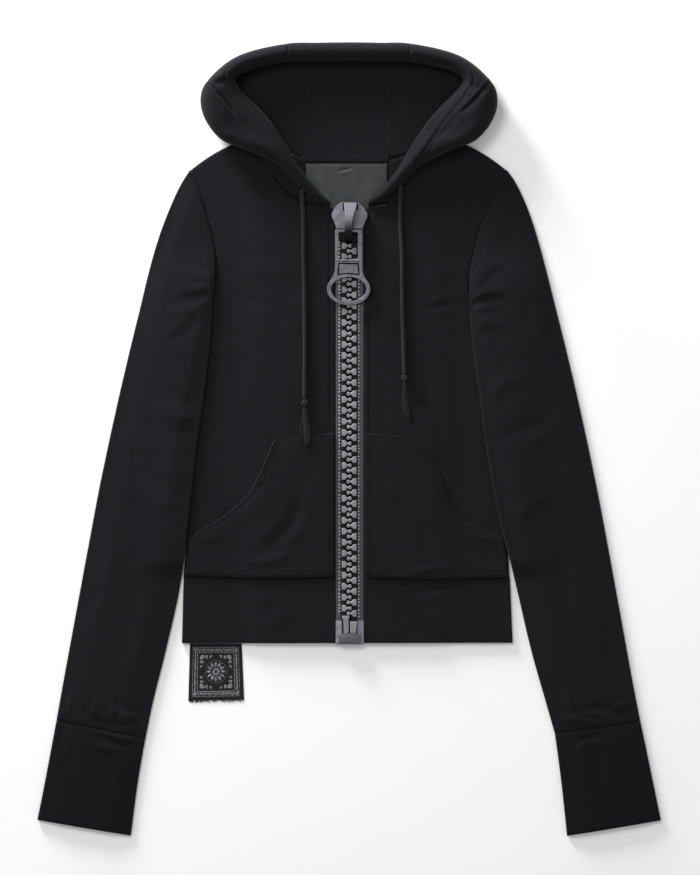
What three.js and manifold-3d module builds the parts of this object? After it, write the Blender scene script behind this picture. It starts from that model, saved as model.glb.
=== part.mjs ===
// A cropped zip up hoodie laid flat and face up, in millimetres.
// X runs across the garment, +Y runs from the hem to the hood, and Z = 0 is the surface it lies on.
// "Left" is the side with negative X.

import * as THREE from "three";
import { mergeVertices } from "three/addons/utils/BufferGeometryUtils.js";
import Module from "manifold-3d";

// Cloth and seams
const CLOTH = 2.0;            // thickness of one wall of fleece
const SEAM_GAP = 0.4;         // space between two pieces at a seam
const LAYER_GAP = 0.3;        // space between two layers that lie on each other
const FOLD_GAP = 0.6;         // space inside a flattened tube at its folded edges
const FULLNESS = 2.8;         // how much the upper layer rises in the middle of a piece
const FULLNESS_START = 148;   // the front starts to rise inside this distance from the zip
const FULLNESS_RUN = 45;      // and is fully risen after this much more
const SHOULDER_RUN = 60;      // length over which the front comes down to the shoulder seam
const TUBE_SWELL_RUN = 34;    // a sleeve or cuff is fully risen this far from its folded edges
const BACK_INSET = 1.2;       // the back ends this far inside the side seam of the front
const WAIST_Y = -170.2;       // lower edge of the back, where it meets the hem band

// Zip
const TAPE_EDGE = { left: -17.1, right: 18.7 };   // where the cloth of each front ends
const TAPE_THICKNESS = 1.2;
const CHAIN_HALF_WIDTH = 9.15;
const CHAIN_SPLIT = 0.3;      // half the space between the two rows
const CHAIN_HEIGHT = 2.9;
const CHAIN_TOP_Y = 262;
const CHAIN_BOTTOM_Y = { left: -220.4, right: -227.4 };
const TAPE_INNER_EDGE = 2.6;  // the tapes stop this far from the middle
const TAPE_TOP_Y = 285;
const ZIP_BOTTOM_Y = -256.5;
const STOP_TOP_Y = { left: -220.8, right: -227.8 };
const STOP_BOTTOM_Y = -242.8;
const STOP_EDGES = { inner: 0.8, outer: 9.0 };
const BOX_EDGES = { left: -12.9, right: 14.4, top: -243.2, bottom: -256.5 };
const BOX_RISE = 0.6;         // the box stands this much over the teeth

// Slider and pull tab
const PLATE_GAP = 0.5;        // space between the chain and the slider's upper plate
const PLATE_THICKNESS = 2.5;
const LOWER_PLATE_THICKNESS = 1.3;
const LOWER_PLATE_SCALE = 0.74;   // its width as a share of the upper plate's
const POST = { halfWidth: 2.2, bottom: 278, top: 290 };
const FLANGE = { inner: 11.2, outer: 16.2, bottom: 251, top: 268 };
const BRIDGE_HALF_WIDTH = 4.8;
const PULL_AXIS_Y = 260.3;
const PULL_THICKNESS = 3.0;
const PULL_HALF_WIDTH = 17.2;
const PULL_TOP_Y = 262.2;
const PULL_NECK_Y = 216;
const PULL_FLARE = 11;        // the bar swells into the ring over this length
const PULL_SHOULDER = 25;     // and meets it this many degrees above its middle
const PULL_WINDOW = { halfWidth: 11.4, bottom: 224.7, top: 258.4 };
const PULL_RING = { y: 187.5, outerX: 27.1, outerY: 19.6, innerX: 21.9, innerY: 15.0 };
const PULL_END_GAP = 0.4;     // space between the ring and the teeth it hangs over

// A sleeve is raised where it lies over the body: this far past the side seam, between these heights
const SLEEVE_RAMP = { past: 27, run: 16, seamTop: 160, top: 212, topRun: 16, bottom: -175, bottomRun: 25 };

// Hem, label and back neck
const HEM_SEAM_DROP = 3;      // the waist seam dips this much between side and zip
const POCKET_GAP = 0.8;       // space between a pocket panel and the front under it
const TRIM_THICKNESS = 0.9;   // neck patch, neck tape and hem label
const LABEL_OUTLINE = [[-198.8, -256.0], [-200.8, -327.4], [-131.2, -326.1], [-134.0, -256.0]];
const PATCH_OUTLINE = [[-53.8, 343.4], [-53.8, 284.0], [47.5, 284.0], [47.5, 343.4]];
const NECK_TAPE_OUTLINE = [[-60.0, 353.6], [-58.0, 345.9], [48.4, 345.9], [50.0, 353.6]];

// Drawcords
const CORD_DIAMETER = 5;
const CORD_SIDES = 10;
const CORD_STEPS = 24;
const KNOT_RADIUS = 4.2;
const KNOT_STRETCH = 1.35;    // how much longer than wide a knot is
const TAIL_DIAMETER = 3.6;

// Heights that follow from the layers
const FRONT_LOW = CLOTH + LAYER_GAP;
const FRONT_HIGH = FRONT_LOW + FULLNESS;
const FOLD_RADIUS = CLOTH + FOLD_GAP / 2;
const OVER_BODY = FRONT_LOW + CLOTH + LAYER_GAP + 0.2;
const TAPE_LOW = FRONT_HIGH + 0.3;
const CHAIN_LOW = TAPE_LOW + TAPE_THICKNESS + LAYER_GAP;
const CHAIN_HIGH = CHAIN_LOW + CHAIN_HEIGHT;
const LOWER_PLATE_TOP = FRONT_HIGH - 0.3;
const UPPER_PLATE_LOW = CHAIN_HIGH + PLATE_GAP;
const UPPER_PLATE_TOP = UPPER_PLATE_LOW + PLATE_THICKNESS;
const PULL_AXIS_Z = UPPER_PLATE_TOP + 2.8;

// Colours from the photograph
const FLEECE = { color: 0x1d1d21, roughness: 0.92, metalness: 0.0 };
const PATCH_CLOTH = { color: 0x4a4b50, roughness: 0.7, metalness: 0.0 };
const LABEL_CLOTH = { color: 0x17171a, roughness: 0.85, metalness: 0.0 };
const TAPE_CLOTH = { color: 0x505055, roughness: 0.85, metalness: 0.0 };
const TOOTH_PLASTIC = { color: 0x85868b, roughness: 0.45, metalness: 0.1 };
const SLIDER_METAL = { color: 0x77787d, roughness: 0.42, metalness: 0.75 };
const CORD_CLOTH = { color: 0x2b2b2f, roughness: 0.9, metalness: 0.0 };

// Body outline, from the waist seam to the shoulder: the side seam, hidden under the sleeve, then the
// underarm, then the armhole. front is the point on the zip edge or neckline that faces it.
const FRONT_ROWS = {
  left: [
    { side: [-206.5, -170.3], front: [-17.1, -172.1], bow: -2.7 },
    { side: [-205.0, -152.0], front: [-17.1, -152.0], bow: -1.0 },
    { side: [-203.0, -126.6], front: [-17.1, -126.6], bow: 0 },
    { side: [-200.0, -76.6], front: [-17.1, -76.6], bow: 0 },
    { side: [-198.8, -10.0], front: [-17.1, -10.0], bow: 0 },
    { side: [-198.8, 48.4], front: [-17.1, 48.4], bow: 0 },
    { side: [-196.2, 135.9], front: [-17.1, 136.0], bow: 0 },
    { side: [-193.8, 162.0], front: [-17.1, 170.0], bow: 0 },
    { side: [-182.0, 171.5], front: [-17.1, 190.0], bow: 0 },
    { side: [-169.6, 183.4], front: [-17.1, 208.0], bow: 0 },
    { side: [-167.1, 200.9], front: [-17.1, 226.0], bow: 0 },
    { side: [-166.5, 223.4], front: [-17.1, 246.0], bow: 0 },
    { side: [-168.4, 245.9], front: [-17.1, 268.0], bow: 0 },
    { side: [-174.0, 268.0], front: [-17.1, 284.0], bow: 0 },
    { side: [-176.5, 276.6], front: [-20.0, 287.2], bow: 0 },
    { side: [-180.0, 289.0], front: [-38.8, 289.7], bow: 0 },
    { side: [-183.5, 301.0], front: [-58.8, 294.7], bow: 1.0 },
    { side: [-186.5, 311.0], front: [-78.8, 307.2], bow: 2.5 },
    { side: [-191.0, 321.0], front: [-93.8, 327.2], bow: 5.0 },
    { side: [-194.8, 328.5], front: [-103.8, 354.7], bow: 7.5 },
    { side: [-198.4, 334.7], front: [-105.0, 378.0], bow: 8.5 },
  ],
  right: [
    { side: [200.4, -172.8], front: [18.7, -172.7], bow: -2.5 },
    { side: [198.8, -151.6], front: [18.7, -152.0], bow: -1.0 },
    { side: [197.5, -126.6], front: [18.7, -126.6], bow: 0 },
    { side: [196.2, -76.6], front: [18.7, -76.6], bow: 0 },
    { side: [196.2, -10.0], front: [18.7, -10.0], bow: 0 },
    { side: [196.2, 48.4], front: [18.7, 48.4], bow: 0 },
    { side: [193.8, 135.9], front: [18.7, 136.0], bow: 0 },
    { side: [191.2, 162.0], front: [18.7, 170.0], bow: 0 },
    { side: [171.0, 171.5], front: [18.7, 190.0], bow: 0 },
    { side: [150.2, 184.7], front: [18.7, 208.0], bow: 0 },
    { side: [150.8, 203.4], front: [18.7, 226.0], bow: 0 },
    { side: [155.8, 232.2], front: [18.7, 246.0], bow: 0 },
    { side: [162.0, 257.0], front: [18.7, 268.0], bow: 0 },
    { side: [168.5, 274.0], front: [18.7, 284.0], bow: 0 },
    { side: [171.0, 280.0], front: [21.6, 287.2], bow: 0 },
    { side: [174.6, 288.4], front: [38.8, 289.7], bow: 0 },
    { side: [180.6, 301.0], front: [58.8, 294.7], bow: 1.0 },
    { side: [187.1, 314.7], front: [78.8, 307.2], bow: 2.5 },
    { side: [190.4, 322.0], front: [93.8, 327.2], bow: 5.0 },
    { side: [193.6, 329.0], front: [103.8, 354.7], bow: 7.5 },
    { side: [197.0, 334.7], front: [105.0, 378.0], bow: 8.5 },
  ],
};

// Upper edge of the back panel: shoulder, neck point and back neckline, mirrored about X = 0.
const BACK_TOP = [
  { x: 197.8, y: 334.7 },
  { x: 173.8, y: 350.9 },
  { x: 152.5, y: 364.0 },
  { x: 130.0, y: 372.4 },
  { x: 105.0, y: 378.0 },
  { x: 96.2, y: 370.6 },
  { x: 83.8, y: 362.0 },
  { x: 68.8, y: 354.4 },
  { x: 48.8, y: 349.2 },
  { x: 23.8, y: 347.4 },
  { x: 0.0, y: 347.2 },
];

// Sleeve sections from the armhole to the cuff seam. bend is how much of the armhole's curve is left,
// and full is how much of the fullness the section has.
const SLEEVE_ROWS = {
  left: [
    { outer: [-198.8, 335.9], inner: [-170.0, 183.4], bend: 1.0, full: 0.2 },
    { outer: [-205.8, 325.2], inner: [-170.3, 176.2], bend: 0.8, full: 0.6 },
    { outer: [-212.5, 313.4], inner: [-170.6, 168.4], bend: 0.6, full: 1.0 },
    { outer: [-223.8, 288.4], inner: [-171.2, 148.4], bend: 0.35, full: 1.0 },
    { outer: [-236.2, 255.9], inner: [-172.5, 127.2], bend: 0.15, full: 1.0 },
    { outer: [-248.8, 213.4], inner: [-175.0, 102.2], bend: 0.05, full: 1.0 },
    { outer: [-261.2, 162.2], inner: [-178.8, 67.2], bend: 0, full: 1.0 },
    { outer: [-273.8, 110.9], inner: [-183.8, 32.2], bend: 0, full: 1.0 },
    { outer: [-291.2, 35.9], inner: [-191.2, -24.1], bend: 0, full: 1.0 },
    { outer: [-312.5, -64.1], inner: [-200.4, -104.1], bend: 0, full: 1.0 },
    { outer: [-321.9, -114.1], inner: [-205.5, -148.0], bend: 0, full: 1.0 },
    { outer: [-331.2, -164.1], inner: [-212.5, -191.6], bend: 0, full: 1.0 },
    { outer: [-345.0, -239.1], inner: [-228.8, -264.1], bend: 0, full: 1.0 },
    { outer: [-358.8, -314.1], inner: [-246.2, -334.1], bend: 0, full: 1.0 },
    { outer: [-365.4, -351.6], inner: [-254.4, -374.7], bend: 0, full: 0.5 },
  ],
  right: [
    { outer: [197.5, 335.9], inner: [150.6, 184.7], bend: 1.0, full: 0.2 },
    { outer: [205.5, 324.6], inner: [150.7, 176.6], bend: 0.8, full: 0.6 },
    { outer: [212.5, 312.2], inner: [150.9, 168.4], bend: 0.6, full: 1.0 },
    { outer: [223.8, 285.9], inner: [151.9, 148.4], bend: 0.35, full: 1.0 },
    { outer: [235.0, 252.2], inner: [153.8, 123.4], bend: 0.15, full: 1.0 },
    { outer: [246.2, 210.9], inner: [157.5, 94.7], bend: 0.05, full: 1.0 },
    { outer: [258.8, 160.9], inner: [162.5, 58.4], bend: 0, full: 1.0 },
    { outer: [271.2, 110.9], inner: [167.5, 18.4], bend: 0, full: 1.0 },
    { outer: [288.8, 35.9], inner: [176.2, -39.1], bend: 0, full: 1.0 },
    { outer: [310.0, -64.1], inner: [189.4, -106.6], bend: 0, full: 1.0 },
    { outer: [319.6, -114.1], inner: [197.9, -140.5], bend: 0, full: 1.0 },
    { outer: [328.8, -164.1], inner: [206.2, -172.8], bend: 0, full: 1.0 },
    { outer: [342.5, -239.1], inner: [227.5, -264.1], bend: 0, full: 1.0 },
    { outer: [356.2, -314.1], inner: [246.2, -330.3], bend: 0, full: 1.0 },
    { outer: [363.8, -352.8], inner: [256.9, -367.8], bend: 0, full: 0.5 },
  ],
};

// Cuff sections from the seam to the open end
const CUFF_ROWS = {
  left: [
    { outer: [-365.5, -352.0], inner: [-254.5, -375.1], bend: 0, full: 0.5 },
    { outer: [-370.0, -376.0], inner: [-258.6, -397.0], bend: 0, full: 0.8 },
    { outer: [-378.8, -422.8], inner: [-265.0, -436.6], bend: 0, full: 0.8 },
    { outer: [-388.8, -474.1], inner: [-272.6, -494.4], bend: 0, full: 0.8 },
  ],
  right: [
    { outer: [363.9, -353.2], inner: [257.0, -368.2], bend: 0, full: 0.5 },
    { outer: [368.6, -375.0], inner: [260.4, -392.0], bend: 0, full: 0.8 },
    { outer: [376.2, -411.6], inner: [265.6, -432.8], bend: 0, full: 0.8 },
    { outer: [388.8, -473.6], inner: [272.6, -494.4], bend: 0, full: 0.8 },
  ],
};

// Pocket panels, from the waist seam to the top edge: mouth is the slanted opening.
const POCKET_ROWS = {
  left: [
    { mouth: [-204.8, -170.3], front: [-19.0, -172.1], bow: -2.6 },
    { mouth: [-202.6, -152.0], front: [-19.0, -150.0], bow: -1.0 },
    { mouth: [-198.0, -126.0], front: [-19.0, -124.0], bow: 0 },
    { mouth: [-158.8, -98.0], front: [-19.0, -98.0], bow: 0 },
    { mouth: [-138.8, -82.0], front: [-19.0, -82.0], bow: 0 },
    { mouth: [-123.8, -65.3], front: [-19.0, -64.0], bow: 0 },
    { mouth: [-111.5, -42.0], front: [-19.0, -42.0], bow: 0 },
    { mouth: [-103.8, -24.1], front: [-19.0, -23.0], bow: 0 },
    { mouth: [-96.0, -6.5], front: [-19.0, -5.0], bow: 0 },
    { mouth: [-91.2, 2.2], front: [-19.0, 7.4], bow: 0 },
  ],
  right: [
    { mouth: [198.2, -172.8], front: [20.6, -172.7], bow: -2.4 },
    { mouth: [197.0, -152.0], front: [20.6, -152.0], bow: -1.0 },
    { mouth: [191.5, -126.6], front: [20.6, -126.0], bow: 0 },
    { mouth: [163.8, -114.1], front: [20.6, -112.0], bow: 0 },
    { mouth: [140.0, -99.1], front: [20.6, -98.0], bow: 0 },
    { mouth: [125.0, -74.1], front: [20.6, -73.0], bow: 0 },
    { mouth: [113.8, -44.1], front: [20.6, -43.0], bow: 0 },
    { mouth: [98.8, -20.3], front: [20.6, -20.0], bow: 0 },
    { mouth: [91.0, -5.0], front: [20.6, -4.0], bow: 0 },
    { mouth: [86.2, 2.2], front: [20.6, 7.0], bow: 0 },
  ],
};

// Hood stations from the zip, over the lobe, to the middle of the crown. Each cloth section runs from
// the neck seam over mid to the fold, turns up and over, and comes back to the rim of the opening.
const HOOD_STATIONS = [
  { neck: [23.8, 288.1, 6.2], mid: [24, 290.2, 6.4], fold: [24.2, 292.2], top: 10.5, rim: [25, 295.9, 9.6] },
  { neck: [38.8, 291.3, 6.2], mid: [40.6, 295.9, 6.8], fold: [41.9, 300.3], top: 14.5, rim: [38.8, 309.1, 11.5] },
  { neck: [57.5, 296.8, 6.2], mid: [60, 307.2, 7.6], fold: [62.5, 317.2], top: 19, rim: [52.5, 324.7, 14] },
  { neck: [76.9, 309, 6.2], mid: [78.8, 322.2, 8], fold: [80, 335.9], top: 23, rim: [63.8, 339.7, 17] },
  { neck: [91.9, 328.4, 6.4], mid: [97.5, 339.7, 9.2], fold: [103.8, 351.6], top: 27, rim: [73.8, 357.2, 19] },
  { neck: [101.6, 355, 6.8], mid: [113.8, 357.8, 9.4], fold: [128.8, 360.9], top: 30, rim: [85, 374.7, 20] },
  { neck: [104.4, 380.6, 6], mid: [131.2, 379.6, 7], fold: [158.8, 377.2], top: 32, rim: [97.5, 393.4, 20] },
  { neck: [101.2, 378, 1], mid: [136.2, 395, 1], fold: [181.2, 404.7], top: 34, rim: [116.2, 414.7, 19] },
  { neck: [91.2, 369.1, 1], mid: [132.5, 410, 1], fold: [182.5, 432.2], top: 34, rim: [132.5, 430.9, 18] },
  { neck: [76.2, 359.4, 1], mid: [118.8, 417.2, 1], fold: [168.8, 452.2], top: 32, rim: [142.5, 445.9, 18] },
  { neck: [60, 353, 1], mid: [87.5, 425.9, 1], fold: [138.8, 475.3], top: 28, rim: [127.5, 458.4, 17] },
  { neck: [45, 349.9, 1], mid: [47.5, 442.2, 1], fold: [76.2, 492.2], top: 25, rim: [76.2, 469.7, 16] },
  { neck: [23.8, 348.6, 1], mid: [26.2, 429.7, 1], fold: [38.8, 493.4], top: 24, rim: [38.8, 470.3, 16] },
  { neck: [0, 348.6, 1], mid: [0, 423.4, 1], fold: [0, 494.1], top: 24, rim: [0, 470.9, 16] },
];
const HOOD_SEAM_STATION = 11;   // the seam between a side panel and the centre panel
const HOOD_STEPS = 2;           // sections between two stations
const HOOD_FOLD_DEPTH = { ofHeight: 0.55, ofReach: 0.45, ofBack: 0.9 };   // the most each lets the turn take

// Route of each drawcord: it leaves the rim casing, drops over the lobe and lies on the front. The tail
// is what is left past the knot.
const CORDS = {
  left: {
    route: [[-58.8, 309.0, 14.6], [-58.4, 300.0, 12.0], [-57.4, 284.0, 10.1], [-56.6, 230.0, 10.1],
      [-55.6, 180.0, 10.1], [-55.0, 120.0, 10.1], [-55.4, 50.8, 10.6]],
    knot: [-55.4, 44.6],
    tail: [[-55.2, 38.4, 11.4], [-54.0, 26.0, 11.6], [-52.6, 8.0, 12.2], [-51.9, -8.0, 12.2]],
  },
  right: {
    route: [[64.4, 315.0, 15.2], [64.2, 304.0, 12.2], [63.8, 284.0, 10.1], [66.0, 230.0, 10.1],
      [66.4, 180.0, 10.1], [67.6, 130.0, 10.1], [69.2, 81.6, 10.6]],
    knot: [69.4, 75.4],
    tail: [[69.4, 69.2, 11.0], [69.8, 58.0, 9.6], [71.4, 40.0, 9.4], [73.8, 23.6, 9.4]],
  },
};

// Edges of the hem band at its seam and at its hem
const HEM_BAND = {
  seam: { left: -206.6, right: 201.0, leftY: -170.7, rightY: -173.2 },
  hem: { left: -208.8, right: 204.4, leftY: -255.4, rightY: -254.8 },
};

// Outline of the slider's upper plate: a broad crown that narrows to the tail, right half from the top
const CROWN_HALF = [[0, 295.2], [9.1, 294.6], [16.2, 289.2], [21.6, 280.6], [20, 272], [17.1, 263.4],
  [15.4, 254.0], [11.0, 248.0], [0, 246.6]];

// The bridge is an arch along Y, seen from the side: [y, height over the upper plate]
const BRIDGE_PROFILE = [[291, -0.5], [291, 1.6], [286, 5.2], [276, 7.9], [262, 8.6], [253, 7.4],
  [248.6, 3.8], [248.6, -0.5], [254.2, -0.5], [254.2, 3.0], [256.6, 5.4], [261.0, 5.9], [265.4, 5.2],
  [268.4, 2.8], [269.6, -0.5]];

const smoothstep = (value) => {
  const t = Math.min(1, Math.max(0, value));
  return t * t * (3 - 2 * t);
};

const mix = (a, b, t) => a + (b - a) * t;

const mixPoint = (a, b, t) => a.map((value, axis) => mix(value, b[axis], t));

const interpolate = (rows, from, to, value) => {
  const sorted = [...rows].sort((a, b) => a[from] - b[from]);
  const next = sorted.findIndex((row) => row[from] >= value);
  if (next === 0) return sorted[0][to];
  if (next < 0) return sorted[sorted.length - 1][to];
  const [a, b] = [sorted[next - 1], sorted[next]];
  return mix(a[to], b[to], (value - a[from]) / (b[from] - a[from]));
};

// Lower face of the front: it lies on the back at side and shoulder, and is fuller in between.
const frontLow = (x, y) => {
  const inward = smoothstep((FULLNESS_START - Math.abs(x)) / FULLNESS_RUN);
  const shoulderY = interpolate(BACK_TOP.slice(0, 5), "x", "y", Math.abs(x));
  const downward = smoothstep((shoulderY - y) / SHOULDER_RUN);
  return FRONT_LOW + FULLNESS * inward * downward;
};

const frontTop = (x, y) => frontLow(x, y) + CLOTH;

// Joins two grids of points, rows by columns, into one closed wall. With wrap the columns go round.
const wallBetween = (outer, inner, wrap = false) => {
  const rows = outer.length;
  const columns = outer[0].length;
  const positions = [...outer.flat(), ...inner.flat()].flat();
  const faces = [];
  const at = (side, row, column) => side * rows * columns + row * columns + (column % columns);
  const quad = (a, b, c, d) => faces.push(a, b, c, a, c, d);
  const lastColumn = wrap ? columns : columns - 1;
  for (let row = 0; row < rows - 1; row += 1) {
    for (let column = 0; column < lastColumn; column += 1) {
      quad(at(0, row, column), at(0, row, column + 1), at(0, row + 1, column + 1), at(0, row + 1, column));
      quad(at(1, row, column), at(1, row + 1, column), at(1, row + 1, column + 1), at(1, row, column + 1));
    }
  }
  const last = rows - 1;
  for (let column = 0; column < lastColumn; column += 1) {
    quad(at(0, 0, column), at(1, 0, column), at(1, 0, column + 1), at(0, 0, column + 1));
    quad(at(0, last, column), at(0, last, column + 1), at(1, last, column + 1), at(1, last, column));
  }
  if (!wrap) {
    for (let row = 0; row < rows - 1; row += 1) {
      quad(at(0, row, 0), at(0, row + 1, 0), at(1, row + 1, 0), at(1, row, 0));
      const end = columns - 1;
      quad(at(0, row, end), at(1, row, end), at(1, row + 1, end), at(0, row + 1, end));
    }
  }
  return closedGeometry(positions, faces);
};

// Signed volume tells which way the faces point, and turns them outward.
const closedGeometry = (positions, faces) => {
  const point = (index) => new THREE.Vector3().fromArray(positions, index * 3);
  let volume = 0;
  for (let i = 0; i < faces.length; i += 3) {
    volume += point(faces[i]).dot(point(faces[i + 1]).cross(point(faces[i + 2])));
  }
  const ordered = volume > 0 ? faces : faces.map((_, i) => faces[i - (i % 3) + [0, 2, 1][i % 3]]);
  const geometry = new THREE.BufferGeometry();
  geometry.setAttribute("position", new THREE.Float32BufferAttribute(positions, 3));
  geometry.setIndex(ordered);
  geometry.computeVertexNormals();
  return geometry;
};

// A slab whose lower face follows lowAt(x, y) over a plan grid of [x, y] points
const slab = (plan, lowAt, thickness) => {
  const lower = plan.map((row) => row.map(([x, y]) => [x, y, lowAt(x, y)]));
  const upper = lower.map((row) => row.map(([x, y, z]) => [x, y, z + thickness]));
  return wallBetween(upper, lower);
};

// Plan grid from rows that each run from one edge point to another; bow bends a row along Y.
const planFromRows = (rows, from, to, columns) => rows.map((row) => {
  const points = [];
  for (let i = 0; i <= columns; i += 1) {
    const t = i / columns;
    const [x, y] = mixPoint(row[from], row[to], t);
    points.push([x, y + row.bow * 4 * t * (1 - t)]);
  }
  return points;
});

const frontPanel = (side) => slab(planFromRows(FRONT_ROWS[side], "side", "front", 9), frontLow, CLOTH);

const sideX = (side, y) => {
  const rows = FRONT_ROWS[side].map((row) => ({ x: row.side[0], y: row.side[1] }));
  return interpolate(rows, "y", "x", y);
};

// The back lies on the surface: columns run from the waist seam to the shoulder or neckline.
const backPanel = () => {
  const half = BACK_TOP.map(({ x, y }) => ({ x: -x, y }));
  const top = [...half, ...BACK_TOP.slice(0, -1).reverse()];
  const hem = FRONT_ROWS.left[0].side[1];
  const levels = FRONT_ROWS.left.map((row) => (row.side[1] - hem) / (BACK_TOP[0].y - hem));
  const plan = levels.map((level) => top.map((edge) => {
    const y = mix(WAIST_Y, edge.y, level);
    const across = (edge.x - top[0].x) / (top[top.length - 1].x - top[0].x);
    const heightOnSide = mix(hem, BACK_TOP[0].y, level);
    const left = sideX("left", heightOnSide) + BACK_INSET;
    const right = sideX("right", heightOnSide) - BACK_INSET;
    return [mix(left, right, across), y];
  }));
  return slab(plan, () => 0, CLOTH);
};

const pocketPanel = (side) => {
  const plan = planFromRows(POCKET_ROWS[side], "mouth", "front", 7);
  return slab(plan, (x, y) => frontTop(x, y) + POCKET_GAP, CLOTH);
};

// How high a sleeve's underside rises where it lies over the body, with a soft ramp beside the side seam
const sleeveFloor = (side, x, y) => {
  const { past, run, seamTop, top, topRun, bottom, bottomRun } = SLEEVE_RAMP;
  const seamX = Math.abs(sideX(side, Math.min(y, seamTop)));
  const across = smoothstep((seamX + past - Math.abs(x)) / run);
  const along = smoothstep((top - y) / topRun) * smoothstep((y - bottom) / bottomRun);
  return OVER_BODY * across * along;
};

// Half a turn round the folded edge of a cloth: [distance out from the centre, height] at each step
const FOLD_TURN = [-90, -45, 0, 45, 90].map((degrees) => {
  const angle = THREE.MathUtils.degToRad(degrees);
  return [Math.cos(angle), Math.sin(angle)];
});

// A section of a flattened tube: how far in from the outer edge, and how high, each point lies. The outer
// loop has inset 0, and the inner loop lies one cloth inside it.
const flatSection = (width, columns, inset, full) => {
  const radius = FOLD_RADIUS - inset;
  const layer = (turn) => {
    const points = [];
    for (let i = 1; i < columns; i += 1) {
      const along = mix(FOLD_RADIUS, width - FOLD_RADIUS, i / columns);
      const risen = smoothstep(Math.min(along, width - along) / TUBE_SWELL_RUN);
      const swell = turn > 0 ? risen * FULLNESS * full : 0;
      points.push([along, FOLD_RADIUS + turn * radius + swell]);
    }
    return points;
  };
  const fold = (centre, sign) => FOLD_TURN.map(
    ([out, up]) => [centre + sign * radius * out, FOLD_RADIUS + radius * up]);
  const innerFold = fold(width - FOLD_RADIUS, 1);
  const outerFold = fold(FOLD_RADIUS, -1);
  return [...innerFold, ...layer(1).reverse(), ...outerFold.reverse(), ...layer(-1)];
};

// A tube pressed flat, lofted through rows of an outer and an inner edge point
const flatTube = (side, rows, columns, floorAt) => {
  const armhole = FRONT_ROWS[side].slice(9).map((row) => ({ x: row.side[0], y: row.side[1] }));
  const loop = (row, inset) => {
    const width = Math.hypot(row.inner[0] - row.outer[0], row.inner[1] - row.outer[1]);
    return flatSection(width, columns, inset, row.full).map(([along, up]) => {
      const [x, y] = mixPoint(row.outer, row.inner, along / width);
      const [chordX, chordY] = mixPoint(rows[0].outer, rows[0].inner, along / width);
      const bow = interpolate(armhole, "y", "x", chordY) + Math.sign(x) * SEAM_GAP - chordX;
      const plan = [x + bow * row.bend, y];
      return [...plan, floorAt(...plan) + up];
    });
  };
  return wallBetween(rows.map((row) => loop(row, 0)), rows.map((row) => loop(row, CLOTH)), true);
};

const sleeve = (side) => flatTube(side, SLEEVE_ROWS[side], 10, (x, y) => sleeveFloor(side, x, y));

const cuff = (side) => flatTube(side, CUFF_ROWS[side], 8, () => 0);

// The hem band is one strip: from the zip edge out to a side fold, under the body, and back to the zip.
const hemBand = () => {
  const loop = (level, inset) => {
    const edge = Object.fromEntries(Object.keys(HEM_BAND.seam).map(
      (name) => [name, mix(HEM_BAND.seam[name], HEM_BAND.hem[name], level)]));
    const radius = FOLD_RADIUS - inset;
    const place = ([x, z]) => {
      const across = (x - edge.left) / (edge.right - edge.left);
      const dip = HEM_SEAM_DROP * Math.sin(Math.PI * Math.abs(across - 0.5) * 2) * (1 - level);
      return [x, mix(edge.leftY, edge.rightY, across) - dip, z];
    };
    const upper = (x) => Math.max(frontTop(x, 0), 2 * FOLD_RADIUS) - inset;
    const run = (from, to, count, height) => Array.from({ length: count + 1 }, (_, i) => {
      const x = mix(from, to, i / count);
      return [x, height(x)];
    });
    const [leftFold, rightFold] = [edge.left + FOLD_RADIUS, edge.right - FOLD_RADIUS];
    const turn = FOLD_TURN.slice(1, -1);
    return [
      ...run(TAPE_EDGE.left, leftFold, 10, upper),
      ...turn.map(([out, up]) => [leftFold - radius * out, FOLD_RADIUS + radius * up]).reverse(),
      ...run(leftFold, rightFold, 12, () => inset),
      ...turn.map(([out, up]) => [rightFold + radius * out, FOLD_RADIUS + radius * up]),
      ...run(rightFold, TAPE_EDGE.right, 10, upper),
    ].map(place);
  };
  const levels = [0, 0.5, 1];
  return wallBetween(levels.map((level) => loop(level, 0)), levels.map((level) => loop(level, CLOTH)));
};

// Middle surface of one hood section: neck, floor run, a round turn at the fold, and back to the rim
const hoodSection = ({ neck, mid, fold, top, rim }) => {
  const [foldX, foldY] = fold;
  const low = mid[2];
  const reach = Math.hypot(rim[0] - foldX, rim[1] - foldY);
  const back = Math.hypot(mid[0] - foldX, mid[1] - foldY);
  const { ofHeight, ofReach, ofBack } = HOOD_FOLD_DEPTH;
  const depth = Math.min((top - low) * ofHeight, reach * ofReach, back * ofBack);
  const toMid = [(mid[0] - foldX) / back, (mid[1] - foldY) / back];
  const toRim = [(rim[0] - foldX) / reach, (rim[1] - foldY) / reach];
  const turn = [-90, -54, -18, 18, 54, 90].map((degrees) => {
    const angle = THREE.MathUtils.degToRad(degrees);
    const inward = depth * (1 - Math.cos(angle));
    const share = (Math.sin(angle) + 1) / 2;
    return [
      foldX + inward * mix(toMid[0], toRim[0], share),
      foldY + inward * mix(toMid[1], toRim[1], share),
      mix(low, top, share),
    ];
  });
  const last = turn[turn.length - 1];
  const overRun = [0.34, 0.68, 1].map((t) => {
    const [x, y] = mixPoint(last, rim, t);
    return [x, y, mix(top, rim[2], t * t)];
  });
  return [neck, mixPoint(neck, mid, 0.5), mid, mixPoint(mid, turn[0], 0.5), ...turn, ...overRun];
};

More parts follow.
